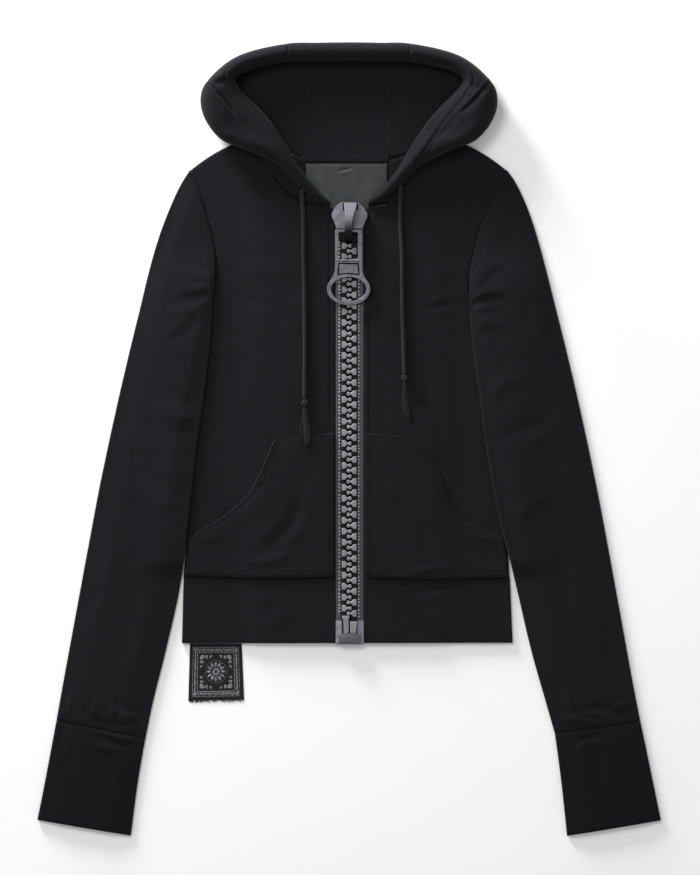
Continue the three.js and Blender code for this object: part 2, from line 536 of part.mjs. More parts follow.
// Smooth columns through the stations, and walls one cloth thick round their middle surface
const hoodRows = () => {
  const sections = HOOD_STATIONS.map(hoodSection);
  const mirrored = sections.slice(0, -1).reverse().map((row) => row.map(([x, y, z]) => [-x, y, z]));
  const all = [...sections, ...mirrored];
  const curves = all[0].map((_, column) => new THREE.CatmullRomCurve3(
    all.map((row) => new THREE.Vector3(...row[column])), false, "centripetal"));
  const count = (all.length - 1) * HOOD_STEPS;
  return Array.from({ length: count + 1 }, (_, i) => curves.map((curve) => curve.getPoint(i / count)));
};

const hoodWall = (middle, first, last) => {
  const normalAt = (row, column) => {
    const clampRow = (value) => middle[Math.min(middle.length - 1, Math.max(0, value))];
    const clampColumn = (value) => Math.min(middle[0].length - 1, Math.max(0, value));
    const along = clampRow(row + 1)[column].clone().sub(clampRow(row - 1)[column]);
    const across = middle[row][clampColumn(column + 1)].clone().sub(middle[row][clampColumn(column - 1)]);
    return along.cross(across).normalize();
  };
  const offset = (distance) => {
    const rows = [];
    for (let row = first; row <= last; row += 1) {
      rows.push(middle[row].map((point, column) => {
        const moved = point.clone().addScaledVector(normalAt(row, column), distance);
        return [moved.x, moved.y, point.z === CLOTH / 2 ? point.z + Math.sign(moved.z - point.z) * CLOTH / 2
          : Math.max(0, moved.z)];
      }));
    }
    return rows;
  };
  return wallBetween(offset(CLOTH / 2), offset(-CLOTH / 2));
};

// Trims a station row back by the seam gap, so that neighbouring panels do not touch
const trimRow = (middle, row, towards) => {
  const trimmed = [...middle];
  trimmed[row] = middle[row].map((point, column) => {
    const step = middle[towards][column].clone().sub(point);
    return point.clone().addScaledVector(step, SEAM_GAP / step.length());
  });
  return trimmed;
};

const hoodPanels = () => {
  const middle = hoodRows();
  const [firstSeam, end] = [HOOD_SEAM_STATION * HOOD_STEPS, middle.length - 1];
  const secondSeam = end - firstSeam;
  return {
    right: hoodWall(trimRow(middle, firstSeam, firstSeam - 1), 0, firstSeam),
    centre: hoodWall(middle, firstSeam, secondSeam),
    left: hoodWall(trimRow(middle, secondSeam, secondSeam + 1), secondSeam, end),
  };
};

// A flat piece cut to an outline of [x, y] corners, from z upward
const flatPiece = (outline, z) => {
  const shape = new THREE.Shape(outline.map((corner) => new THREE.Vector2(...corner)));
  return extruded(shape, TRIM_THICKNESS, z);
};

const extruded = (shape, depth, z) =>
  new THREE.ExtrudeGeometry(shape, { depth, bevelEnabled: false, curveSegments: 12 }).translate(0, 0, z);

const block = (x, y, z) => new THREE.BoxGeometry(Math.abs(x[1] - x[0]), y[1] - y[0], z[1] - z[0])
  .translate((x[0] + x[1]) / 2, (y[0] + y[1]) / 2, (z[0] + z[1]) / 2);

const zipTape = (side) => {
  const sign = Math.sign(TAPE_EDGE[side]);
  const across = [TAPE_EDGE[side] - sign * SEAM_GAP, sign * TAPE_INNER_EDGE];
  return block(across, [ZIP_BOTTOM_Y, TAPE_TOP_Y], [TAPE_LOW, TAPE_LOW + TAPE_THICKNESS]);
};

// One row of teeth, as the plain bar that their outer faces touch
const zipChain = (side) => {
  const sign = Math.sign(TAPE_EDGE[side]);
  const across = [sign * CHAIN_SPLIT, sign * CHAIN_HALF_WIDTH];
  return block(across, [CHAIN_BOTTOM_Y[side], CHAIN_TOP_Y], [CHAIN_LOW, CHAIN_HIGH]);
};

const zipStop = (side) => {
  const sign = Math.sign(TAPE_EDGE[side]);
  const across = [sign * STOP_EDGES.inner, sign * STOP_EDGES.outer];
  return block(across, [STOP_BOTTOM_Y, STOP_TOP_Y[side]], [CHAIN_LOW, CHAIN_HIGH]);
};

const zipBox = () => block([BOX_EDGES.left, BOX_EDGES.right], [BOX_EDGES.bottom, BOX_EDGES.top],
  [CHAIN_LOW, CHAIN_HIGH + BOX_RISE]);

const wasm = await Module();
wasm.setup();

const toSolid = (geometry) => {
  const bare = geometry.clone();
  bare.deleteAttribute("normal");
  bare.deleteAttribute("uv");
  const merged = mergeVertices(bare, 1e-4);
  return new wasm.Manifold(new wasm.Mesh({
    numProp: 3,
    vertProperties: merged.attributes.position.array,
    triVerts: Uint32Array.from(merged.index.array),
  }));
};

const joined = (geometries) => {
  const whole = geometries.map(toSolid).reduce((sum, solid) => sum.add(solid)).getMesh();
  const geometry = new THREE.BufferGeometry();
  geometry.setAttribute("position", new THREE.BufferAttribute(whole.vertProperties, 3));
  geometry.setIndex(new THREE.BufferAttribute(whole.triVerts, 1));
  return geometry;
};

const crownShape = (scale) => {
  const right = CROWN_HALF.map(([x, y]) => new THREE.Vector2(x * scale, y));
  const left = right.slice(1, -1).reverse().map((corner) => new THREE.Vector2(-corner.x, corner.y));
  const outline = new THREE.CatmullRomCurve3(
    [...right, ...left].map(({ x, y }) => new THREE.Vector3(x, y, 0)), true, "centripetal");
  return new THREE.Shape(outline.getPoints(48).slice(0, -1).map(({ x, y }) => new THREE.Vector2(x, y)));
};

const bridge = () => {
  const shape = new THREE.Shape(BRIDGE_PROFILE.map((corner) => new THREE.Vector2(...corner)));
  const geometry = new THREE.ExtrudeGeometry(shape, { depth: 2 * BRIDGE_HALF_WIDTH, bevelEnabled: false });
  const turn = new THREE.Matrix4().makeBasis(
    new THREE.Vector3(0, 1, 0), new THREE.Vector3(0, 0, 1), new THREE.Vector3(1, 0, 0));
  return geometry.applyMatrix4(turn).translate(-BRIDGE_HALF_WIDTH, 0, UPPER_PLATE_TOP);
};

const slider = () => {
  const tapeTop = TAPE_LOW + TAPE_THICKNESS;
  const flanges = [-1, 1].map((sign) => block([sign * FLANGE.inner, sign * FLANGE.outer],
    [FLANGE.bottom, FLANGE.top], [tapeTop + 0.8, UPPER_PLATE_LOW + 0.5]));
  const post = block([-POST.halfWidth, POST.halfWidth], [POST.bottom, POST.top],
    [LOWER_PLATE_TOP - 0.5, UPPER_PLATE_LOW + 0.5]);
  return joined([
    extruded(crownShape(1), PLATE_THICKNESS, UPPER_PLATE_LOW),
    extruded(crownShape(LOWER_PLATE_SCALE), LOWER_PLATE_THICKNESS, LOWER_PLATE_TOP - LOWER_PLATE_THICKNESS),
    post,
    ...flanges,
    bridge(),
  ]);
};

// The pull tab: a bar that turns under the bridge, a window, and a large oval ring at the end
const pullTab = () => {
  const { y, outerX, outerY, innerX, innerY } = PULL_RING;
  const shoulder = THREE.MathUtils.degToRad(PULL_SHOULDER);
  const shoulderX = outerX * Math.cos(shoulder);
  const shoulderY = y + outerY * Math.sin(shoulder);
  const shape = new THREE.Shape();
  shape.moveTo(PULL_HALF_WIDTH, PULL_TOP_Y);
  shape.lineTo(-PULL_HALF_WIDTH, PULL_TOP_Y);
  shape.lineTo(-PULL_HALF_WIDTH, PULL_NECK_Y);
  shape.quadraticCurveTo(-PULL_HALF_WIDTH, PULL_NECK_Y - PULL_FLARE, -shoulderX, shoulderY);
  shape.absellipse(0, y, outerX, outerY, Math.PI - shoulder, 2 * Math.PI + shoulder, false, 0);
  shape.quadraticCurveTo(PULL_HALF_WIDTH, PULL_NECK_Y - PULL_FLARE, PULL_HALF_WIDTH, PULL_NECK_Y);
  const ringHole = new THREE.Path();
  ringHole.absellipse(0, y, innerX, innerY, 0, 2 * Math.PI, false, 0);
  const { halfWidth, bottom, top } = PULL_WINDOW;
  const corners = [[-halfWidth, bottom], [halfWidth, bottom], [halfWidth, top], [-halfWidth, top]];
  const opening = new THREE.Path(corners.map((corner) => new THREE.Vector2(...corner)));
  shape.holes.push(ringHole, opening);
  const reach = PULL_AXIS_Y - (y - outerY);
  const fall = PULL_AXIS_Z - PULL_THICKNESS / 2 - CHAIN_HIGH - PULL_END_GAP;
  return extruded(shape, PULL_THICKNESS, -PULL_THICKNESS / 2)
    .translate(0, -PULL_AXIS_Y, 0)
    .rotateX(Math.asin(fall / reach))
    .translate(0, PULL_AXIS_Y, PULL_AXIS_Z);
};

const tube = (points, diameter, steps) => {
  const section = new THREE.Shape(Array.from({ length: CORD_SIDES }, (_, i) => {
    const angle = (2 * Math.PI * i) / CORD_SIDES;
    return new THREE.Vector2(Math.cos(angle), Math.sin(angle)).multiplyScalar(diameter / 2);
  }));
  const route = points.map((point) => new THREE.Vector3(...point));
  const extrudePath = new THREE.CatmullRomCurve3(route, false, "centripetal");
  return new THREE.ExtrudeGeometry(section, { steps, extrudePath, bevelEnabled: false });
};

const knot = ([x, y]) => new THREE.SphereGeometry(KNOT_RADIUS, 12, 8)
  .scale(1, KNOT_STRETCH, 1)
  .translate(x, y, FRONT_HIGH + CLOTH + LAYER_GAP + KNOT_RADIUS);

const garment = new THREE.Group();

const addPiece = (name, geometry, look) => {
  const mesh = new THREE.Mesh(geometry, new THREE.MeshStandardMaterial(look));
  mesh.name = name;
  garment.add(mesh);
};

addPiece("back_panel", backPanel(), FLEECE);
addPiece("hem_band", hemBand(), FLEECE);
for (const side of ["left", "right"]) {
  addPiece(`front_${side}`, frontPanel(side), FLEECE);
  addPiece(`pocket_${side}`, pocketPanel(side), FLEECE);
  addPiece(`sleeve_${side}`, sleeve(side), FLEECE);
  addPiece(`cuff_${side}`, cuff(side), FLEECE);
}
const hood = hoodPanels();
addPiece("hood_left", hood.left, FLEECE);
addPiece("hood_centre", hood.centre, FLEECE);
addPiece("hood_right", hood.right, FLEECE);
addPiece("neck_tape", flatPiece(NECK_TAPE_OUTLINE, FRONT_LOW), FLEECE);
addPiece("neck_patch", flatPiece(PATCH_OUTLINE, FRONT_LOW), PATCH_CLOTH);
addPiece("hem_label", flatPiece(LABEL_OUTLINE, 0), LABEL_CLOTH);
for (const side of ["left", "right"]) {
  addPiece(`zip_tape_${side}`, zipTape(side), TAPE_CLOTH);
  addPiece(`zip_chain_${side}`, zipChain(side), TOOTH_PLASTIC);
  addPiece(`zip_stop_${side}`, zipStop(side), TOOTH_PLASTIC);
}
addPiece("zip_box", zipBox(), TOOTH_PLASTIC);
addPiece("zip_slider", slider(), SLIDER_METAL);
addPiece("zip_pull", pullTab(), SLIDER_METAL);
for (const side of ["left", "right"]) {
  addPiece(`cord_${side}`, tube(CORDS[side].route, CORD_DIAMETER, CORD_STEPS), CORD_CLOTH);
  addPiece(`knot_${side}`, knot(CORDS[side].knot), CORD_CLOTH);
  addPiece(`tail_${side}`, tube(CORDS[side].tail, TAIL_DIAMETER, 8), CORD_CLOTH);
}

export default garment;
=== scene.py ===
# The looks of a cropped zip up hoodie, laid flat and face up on a pale surface.
# Tables are in millimetres in the frame of the solids: X across, +Y from hem to hood, Z up.

import math

import bpy
import numpy as np
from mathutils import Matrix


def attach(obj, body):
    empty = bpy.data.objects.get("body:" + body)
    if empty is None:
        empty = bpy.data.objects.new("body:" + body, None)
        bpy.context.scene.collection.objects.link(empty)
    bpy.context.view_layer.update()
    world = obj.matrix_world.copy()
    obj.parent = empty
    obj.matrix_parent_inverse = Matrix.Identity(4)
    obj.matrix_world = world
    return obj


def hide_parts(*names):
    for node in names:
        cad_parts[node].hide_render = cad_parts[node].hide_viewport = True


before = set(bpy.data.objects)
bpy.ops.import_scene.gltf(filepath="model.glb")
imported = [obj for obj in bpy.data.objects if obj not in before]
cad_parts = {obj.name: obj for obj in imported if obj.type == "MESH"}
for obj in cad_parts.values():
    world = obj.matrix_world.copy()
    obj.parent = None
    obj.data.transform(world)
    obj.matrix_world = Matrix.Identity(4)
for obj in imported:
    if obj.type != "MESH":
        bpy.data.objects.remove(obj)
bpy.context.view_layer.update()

bl_info = {
    "name": "Zip up hoodie, laid flat",
    "version": (1, 0, 0),
    "blender": (4, 5, 0),
    "location": "View3D > Sidebar > Hoodie",
    "description": "Builds the cloth, zip, cords, label and stage of a zip up hoodie laid flat",
    "category": "Object",
}

MM = 0.001
SIDES = {"left": -1.0, "right": 1.0}
BODY = "garment"


def listed(names, *rows):
    """A table as one dictionary for each row, with the names of its columns written once."""
    return [dict(zip(names.split(), row)) for row in rows]


# Layers of cloth, as heights above the surface
CLOTH = 2.0
FRONT_LOW = 2.3
FULLNESS = 2.8
FULLNESS_START = 148.0
FULLNESS_RUN = 45.0
SHOULDER_RUN = 60.0
FOLD_RADIUS = 2.3
OVER_BODY = 4.8
SEAM = 0.05
WAIST_OVERLAP = 0.3
POCKET_GAP = 0.8
SEAM_DIP = (0.8, 2.4)
STITCH_FROM_ZIP = 6.9
MOUTH_STITCHES = (4.5, 9.5)
TAPE_EDGE = {"left": -17.1, "right": 18.7}
TAPE_LOW = 5.4
TAPE_TOP = 6.6
CHAIN_LOW = 6.9
CHAIN_TOP = 9.8
PLATE_LOW = 10.3
PLATE_TOP = 12.8
PULL_AXIS = (0.0, 260.3, 15.6)

# Front panels: side is the point on the side seam, underarm or armhole, front the facing point on the
# zip edge or neckline, and bow bends the row between them along Y.
FRONT_ROWS = {
    "left": listed(
        "side front bow",
        ((-206.5, -170.3), (-17.1, -172.1), -2.7), ((-205, -152), (-17.1, -152), -1),
        ((-203, -126.6), (-17.1, -126.6), 0), ((-200, -76.6), (-17.1, -76.6), 0),
        ((-198.8, -10), (-17.1, -10), 0), ((-198.8, 48.4), (-17.1, 48.4), 0),
        ((-196.2, 135.9), (-17.1, 136), 0), ((-193.8, 162), (-17.1, 170), 0),
        ((-182, 171.5), (-17.1, 190), 0), ((-169.6, 183.4), (-17.1, 208), 0),
        ((-167.1, 200.9), (-17.1, 226), 0), ((-166.5, 223.4), (-17.1, 246), 0),
        ((-168.4, 245.9), (-17.1, 268), 0), ((-174, 268), (-17.1, 284), 0),
        ((-176.5, 276.6), (-20, 287.2), 0), ((-180, 289), (-38.8, 289.7), 0),
        ((-183.5, 301), (-58.8, 294.7), 1), ((-186.5, 311), (-78.8, 307.2), 2.5),
        ((-191, 321), (-93.8, 327.2), 5), ((-194.8, 328.5), (-103.8, 354.7), 7.5),
        ((-198.4, 334.7), (-105, 378), 8.5),
    ),
    "right": listed(
        "side front bow",
        ((200.4, -172.8), (18.7, -172.7), -2.5), ((198.8, -151.6), (18.7, -152), -1),
        ((197.5, -126.6), (18.7, -126.6), 0), ((196.2, -76.6), (18.7, -76.6), 0),
        ((196.2, -10), (18.7, -10), 0), ((196.2, 48.4), (18.7, 48.4), 0), ((193.8, 135.9), (18.7, 136), 0),
        ((191.2, 162), (18.7, 170), 0), ((171, 171.5), (18.7, 190), 0), ((150.2, 184.7), (18.7, 208), 0),
        ((150.8, 203.4), (18.7, 226), 0), ((155.8, 232.2), (18.7, 246), 0), ((162, 257), (18.7, 268), 0),
        ((168.5, 274), (18.7, 284), 0), ((171, 280), (21.6, 287.2), 0), ((174.6, 288.4), (38.8, 289.7), 0),
        ((180.6, 301), (58.8, 294.7), 1), ((187.1, 314.7), (78.8, 307.2), 2.5),
        ((190.4, 322), (93.8, 327.2), 5), ((193.6, 329), (103.8, 354.7), 7.5),
        ((197, 334.7), (105, 378), 8.5),
    ),
}
ARMHOLE_FIRST_ROW = 9
SHOULDER = [(105.0, 378.0), (130.0, 372.4), (152.5, 364.0), (173.8, 350.9), (197.8, 334.7)]
BACK_TOP = [
    (0.0, 347.2), (23.8, 347.4), (48.8, 349.2), (68.8, 354.4), (83.8, 362.0), (96.2, 370.6), *SHOULDER,
]
WAIST_SEAM_Y = -170.2

# Sleeves and cuffs: outer and inner edge of each section, how much of the armhole's curve it keeps, and
# how full the upper layer is.
SLEEVE_ROWS = {
    "left": listed(
        "outer inner bend full",
        ((-198.8, 335.9), (-170, 183.4), 1, 0.2), ((-205.8, 325.2), (-170.3, 176.2), 0.8, 0.6),
        ((-212.5, 313.4), (-170.6, 168.4), 0.6, 1), ((-223.8, 288.4), (-171.2, 148.4), 0.35, 1),
        ((-236.2, 255.9), (-172.5, 127.2), 0.15, 1), ((-248.8, 213.4), (-175, 102.2), 0.05, 1),
        ((-261.2, 162.2), (-178.8, 67.2), 0, 1), ((-273.8, 110.9), (-183.8, 32.2), 0, 1),
        ((-291.2, 35.9), (-191.2, -24.1), 0, 1), ((-312.5, -64.1), (-200.4, -104.1), 0, 1),
        ((-321.9, -114.1), (-205.5, -148), 0, 1), ((-331.2, -164.1), (-212.5, -191.6), 0, 1),
        ((-345, -239.1), (-228.8, -264.1), 0, 1), ((-358.8, -314.1), (-246.2, -334.1), 0, 1),
        ((-365.4, -351.6), (-254.4, -374.7), 0, 0.5),
    ),
    "right": listed(
        "outer inner bend full",
        ((197.5, 335.9), (150.6, 184.7), 1, 0.2), ((205.5, 324.6), (150.7, 176.6), 0.8, 0.6),
        ((212.5, 312.2), (150.9, 168.4), 0.6, 1), ((223.8, 285.9), (151.9, 148.4), 0.35, 1),
        ((235, 252.2), (153.8, 123.4), 0.15, 1), ((246.2, 210.9), (157.5, 94.7), 0.05, 1),
        ((258.8, 160.9), (162.5, 58.4), 0, 1), ((271.2, 110.9), (167.5, 18.4), 0, 1),
        ((288.8, 35.9), (176.2, -39.1), 0, 1), ((310, -64.1), (189.4, -106.6), 0, 1),
        ((319.6, -114.1), (197.9, -140.5), 0, 1), ((328.8, -164.1), (206.2, -172.8), 0, 1),
        ((342.5, -239.1), (227.5, -264.1), 0, 1), ((356.2, -314.1), (246.2, -330.3), 0, 1),
        ((363.8, -352.8), (256.9, -367.8), 0, 0.5),
    ),
}
CUFF_ROWS = {
    "left": listed(
        "outer inner bend full",
        ((-365.5, -352), (-254.5, -375.1), 0, 0.5), ((-370, -376), (-258.6, -397), 0, 0.8),
        ((-378.8, -422.8), (-265, -436.6), 0, 0.8), ((-389.3, -476), (-272.6, -495.6), 0, 0.8),
    ),
    "right": listed(
        "outer inner bend full",
        ((363.9, -353.2), (257, -368.2), 0, 0.5), ((368.6, -375), (260.4, -392), 0, 0.8),
        ((376.2, -411.6), (265.6, -432.8), 0, 0.8), ((389.6, -476.6), (272.4, -496), 0, 0.8),
    ),
}

# Pockets, from the waist seam up: mouth is the slanted opening and then the top corner
POCKET_ROWS = {
    "left": listed(
        "mouth front bow",
        ((-204.8, -170.3), (-19, -172.1), -2.6), ((-202.6, -152), (-19, -150), -1),
        ((-198, -126), (-19, -124), 0), ((-158.8, -98), (-19, -98), 0), ((-138.8, -82), (-19, -82), 0),
        ((-123.8, -65.3), (-19, -64), 0), ((-111.5, -42), (-19, -42), 0), ((-103.8, -24.1), (-19, -23), 0),
        ((-96, -6.5), (-19, -5), 0), ((-91.2, 2.2), (-19, 7.4), 0),
    ),
    "right": listed(
        "mouth front bow",
        ((198.2, -172.8), (20.6, -172.7), -2.4), ((197, -152), (20.6, -152), -1),
        ((191.5, -126.6), (20.6, -126), 0), ((163.8, -114.1), (20.6, -112), 0),
        ((140, -99.1), (20.6, -98), 0), ((125, -74.1), (20.6, -73), 0), ((113.8, -44.1), (20.6, -43), 0),
        ((98.8, -20.3), (20.6, -20), 0), ((91, -5), (20.6, -4), 0), ((86.2, 2.2), (20.6, 7), 0),
    ),
}
HEM_SEAM = {"left": (-206.6, -170.7), "right": (201.0, -173.2), "drop": 3.0}
HEM_EDGE = {"left": (-208.8, -255.4), "right": (204.4, -254.8)}

# Hood sections from the zip over the lobe to the middle of the crown: the neck seam, the middle of the
# run under the lobe, the outer fold, the height of the upper run, and the rim of the opening.
HOOD_STATIONS = listed(
    "neck mid fold top rim",
    ((23.8, 288.1, 6.2), (24.0, 290.2, 6.4), (24.2, 292.2), 10.5, (25.0, 295.9, 9.6)),
    ((38.8, 291.3, 6.2), (40.6, 295.9, 6.8), (41.9, 300.3), 14.5, (38.8, 309.1, 11.5)),
    ((57.5, 296.8, 6.2), (60.0, 307.2, 7.6), (62.5, 317.2), 19.0, (52.5, 324.7, 14.0)),
    ((76.9, 309.0, 6.2), (78.8, 322.2, 8.0), (80.0, 335.9), 23.0, (63.8, 339.7, 17.0)),
    ((91.9, 328.4, 6.4), (97.5, 339.7, 9.2), (103.8, 351.6), 27.0, (73.8, 357.2, 19.0)),
    ((101.6, 355.0, 6.8), (113.8, 357.8, 9.4), (128.8, 360.9), 30.0, (85.0, 374.7, 20.0)),
    ((104.4, 380.6, 6.0), (131.2, 379.6, 7.0), (160.4, 374.6), 32.0, (97.5, 393.4, 20.0)),
    ((101.2, 378.0, 1.0), (136.2, 395.0, 1.0), (181.2, 404.7), 34.0, (116.2, 414.7, 19.0)),
    ((91.2, 369.1, 1.0), (132.5, 410.0, 1.0), (182.5, 432.2), 34.0, (132.5, 430.9, 18.0)),
    ((76.2, 359.4, 1.0), (118.8, 417.2, 1.0), (168.8, 452.2), 32.0, (142.5, 445.9, 18.0)),
    ((60.0, 353.0, 1.0), (87.5, 425.9, 1.0), (138.8, 475.3), 28.0, (127.5, 458.4, 17.0)),
    ((45.0, 349.9, 1.0), (46.0, 456.0, 1.0), (76.2, 491.4), 25.0, (76.2, 469.7, 16.0)),
    ((23.8, 348.6, 1.0), (26.2, 429.7, 1.0), (38.8, 492.4), 24.0, (38.8, 470.3, 16.0)),
    ((0.0, 348.6, 1.0), (0.0, 423.4, 1.0), (0.0, 492.9), 24.0, (0.0, 470.9, 16.0)),
)
HOOD_SEAM_STATION = 11
CASING_WIDTH = 19.0
NECK_TUCK = 1.6

# Routes of the drawcords and of their tails, as in the solids
CORD_DIAMETER = 5.0
CORDS = {
    "left": {
        "route": [(-58.8, 309.0, 14.6), (-58.4, 300.0, 12.0), (-57.4, 284.0, 10.1), (-56.6, 230.0, 10.1),
                  (-55.6, 180.0, 10.1), (-55.0, 120.0, 10.1), (-55.4, 50.8, 10.6)],
        "knot": (-55.4, 44.6, 11.6),
        "tail": [(-55.2, 38.4, 11.4), (-54.0, 26.0, 11.6), (-52.6, 8.0, 12.2), (-51.9, -8.0, 12.2)],
    },
    "right": {
        "route": [(64.4, 315.0, 15.2), (64.2, 304.0, 12.2), (63.8, 284.0, 10.1), (66.0, 230.0, 10.1),
                  (66.4, 180.0, 10.1), (67.6, 130.0, 10.1), (69.2, 81.6, 10.6)],
        "knot": (69.4, 75.4, 11.6),
        "tail": [(69.4, 69.2, 11.0), (69.8, 58.0, 9.6), (71.4, 40.0, 9.4), (73.8, 23.6, 9.4)],
    },
}

# Soft creases, from one end to the other, with the height of the ridge or, below zero, the depth of the
# hollow, and the half width
BODY_CREASES = listed(
    "from to height width",
    ((-132, 112), (-170, -18), -1.5, 7), ((-118, 96), (-146, 6), 0.8, 9),
    ((-150, -20), (-176, -96), -0.9, 8), ((-150, 180), (-100, 168), -0.9, 6),
    ((-146, 206), (-70, 216), 0.6, 11), ((-132, 318), (-84, 284), -0.8, 8),
    ((-104, 296), (-60, 268), 0.7, 7), ((-44, 240), (-60, 120), 0.5, 10), ((-84, 110), (-66, 20), 0.5, 12),
    ((-52, -80), (-104, -150), -1.2, 9), ((-36, -60), (-72, -140), 0.7, 9),
    ((-140, -110), (-122, -166), 0.7, 7), ((-60, -150), (-170, -160), 0.6, 5),
    ((100, 173), (146, 181), 0.7, 5), ((92, 164), (144, 170), -0.7, 5), ((136, 206), (76, 196), 0.5, 11),
    ((120, 312), (78, 276), -0.7, 9), ((70, 150), (112, 34), -1, 11), ((92, 54), (124, 6), -1.3, 8),
    ((108, -18), (160, -100), -1.4, 9), ((128, -12), (168, -76), 0.9, 7), ((40, 220), (48, 90), 0.5, 8),
    ((46, -50), (96, -130), 0.6, 12), ((60, -64), (118, -150), -0.7, 8), ((66, -158), (180, -166), 0.7, 5),
    ((84, -186), (150, -190), -1, 6), ((-150, -190), (-80, -184), -0.7, 6),
    ((-70, -206), (-100, -240), 0.5, 10), ((100, -214), (130, -244), 0.5, 10),
)
SLEEVE_CREASES = {
    "left": listed(
        "from to height width",
        ((-176, 196), (-208, 216), 0.9, 6), ((-172, 180), (-208, 172), -2.2, 5),
        ((-178, 166), (-228, 152), 1, 7), ((-184, 150), (-222, 118), -0.8, 6.5),
        ((-192, 20), (-240, 44), 0.9, 9), ((-196, 0), (-252, 14), -0.9, 10),
        ((-290, 10), (-240, -22), 0.6, 11), ((-222, -90), (-262, -58), 0.7, 9),
        ((-240, 240), (-256, 120), 0.6, 12), ((-230, 300), (-216, 250), -0.5, 10),
        ((-290, -120), (-306, -240), 0.6, 13), ((-250, -200), (-270, -300), 0.6, 10),
        ((-264, -352), (-300, -338), 1.3, 4.5), ((-276, -364), (-330, -346), -1.2, 4),
        ((-310, -318), (-322, -352), 0.9, 5), ((-344, -318), (-352, -346), 0.8, 4),
        ((-284, -320), (-290, -356), -0.8, 4),
    ),
    "right": listed(
        "from to height width",
        ((152, 179), (196, 186), 1.4, 4.5), ((150, 170), (188, 174), -2, 4.5),
        ((156, 200), (192, 226), 0.9, 6.5), ((160, 150), (206, 140), 0.8, 7),
        ((172, 60), (222, 80), 0.8, 9), ((182, 0), (244, 24), -0.8, 10), ((276, 30), (230, -16), 0.6, 11),
        ((206, -96), (252, -66), 0.7, 9), ((214, 300), (206, 244), -0.6, 9),
        ((236, 236), (248, 120), 0.6, 12), ((284, -110), (300, -230), 0.6, 13),
        ((246, -210), (262, -300), 0.6, 10), ((264, -346), (312, -356), 1.2, 4.5),
        ((296, -330), (350, -346), -1.1, 4.5), ((326, -334), (362, -330), 1.1, 4),
        ((272, -312), (280, -340), 0.8, 4.5),
    ),
}
CUFF_CREASES = {
    "left": listed(
        "from to height width",
        ((-268, -388), (-320, -372), -1.1, 4.5), ((-290, -392), (-330, -380), 0.9, 5),
        ((-280, -396), (-286, -430), 0.6, 6), ((-348, -366), (-358, -410), 0.6, 7),
    ),
    "right": listed(
        "from to height width",
        ((276, -380), (322, -366), -1.1, 4.5), ((286, -388), (300, -410), 0.9, 5),
        ((322, -372), (332, -430), 0.6, 8), ((350, -366), (358, -400), 0.6, 6),
    ),
}
# Folds of the hood's upper side, each with how far it bends over its length
HOOD_CREASES = {
    "right": listed(
        "from to height width bend",
        ((178, 446), (139, 403), -3.4, 1.7, 0.03), ((180, 436), (148, 398), 0.9, 5, 0.03),
        ((146, 441), (165, 431), -1.7, 4.6, 0), ((140, 404), (104, 366), -0.7, 4, 0.05),
        ((160, 384), (112, 364), 0.8, 6, 0.12), ((112, 370), (82, 340), -0.8, 4, 0.12),
        ((90, 356), (52, 314), 0.6, 3.4, 0.05),
    ),
    "left": listed(
        "from to height width bend",
        ((-180, 450), (-137, 398), -4.8, 1.7, 0.03), ((-181, 438), (-148, 396), 1.3, 5, 0.03),
        ((-150, 446), (-168, 439), -2, 4, 0), ((-138, 400), (-102, 364), -0.9, 4, 0.05),
        ((-158, 386), (-116, 360), 0.9, 6, 0.12), ((-116, 366), (-80, 336), -1, 4, 0.12),
        ((-88, 354), (-50, 312), 0.7, 3.4, 0.05),
    ),
}


def smoothstep(value):
    """Eases from 0 to 1 as value goes from 0 to 1: three t squared less two t cubed."""
    t = np.clip(value, 0.0, 1.0)
    return t * t * (3.0 - 2.0 * t)


def curve_through(knots, values, at, monotone=True):
    """Piecewise cubic through values at knots. Its slopes are harmonic means of the neighbouring chords,
    so that it never overshoots, or plain weighted means where monotone is off."""
    knots = np.asarray(knots, float)
    values = np.asarray(values, float).reshape(len(knots), -1)
    step = np.diff(knots)[:, None]
    chord = np.diff(values, axis=0) / step
    slope = np.zeros_like(values)
    if monotone:
        product = chord[:-1] * chord[1:]
        total = np.where(product > 0, chord[:-1] + chord[1:], 1.0)
        slope[1:-1] = np.where(product > 0, 2.0 * product / total, 0.0)
    else:
        slope[1:-1] = (chord[:-1] * step[1:] + chord[1:] * step[:-1]) / (step[:-1] + step[1:])
    slope[0], slope[-1] = chord[0], chord[-1]
    at = np.asarray(at, float).ravel()
    index = np.clip(np.searchsorted(knots, at, side="right") - 1, 0, len(knots) - 2)
    width = step[index]
    t = ((at - knots[index])[:, None] / width)
    return ((2 * t**3 - 3 * t**2 + 1) * values[index] + (t**3 - 2 * t**2 + t) * width * slope[index]
            + (3 * t**2 - 2 * t**3) * values[index + 1] + (t**3 - t**2) * width * slope[index + 1])


def value_at(pairs, at):
    """One value read from a table of (key, value) pairs, smoothly, at an array of any shape."""
    pairs = np.array(sorted(pairs), float)
    flat = np.clip(np.ravel(at), pairs[0, 0], pairs[-1, 0])
    return curve_through(pairs[:, 0], pairs[:, 1], flat)[:, 0].reshape(np.shape(at))


def edge_steps(count):
    """Steps from 0 to 1 that lie closer together near both ends: half even, half a cosine."""
    even = np.linspace(0.0, 1.0, count)
    return 0.5 * even + 0.25 * (1.0 - np.cos(np.pi * even))


def column(table, name):
    return np.array([row[name] for row in table], float)


def arc_lengths(points):
    """Distance travelled along a path, at each of its points."""
    return np.concatenate([[0.0], np.cumsum(np.linalg.norm(np.diff(points, axis=0), axis=1))])


def rows_between(table, names, count):
    """The named columns of a table, sampled by the distance that the first column's points travel, a little
    closer together near both ends."""
    knots = arc_lengths(column(table, names[0])[:, :2])
    at = edge_steps(count) * knots[-1]
    return [curve_through(knots, column(table, name), at) for name in names], at


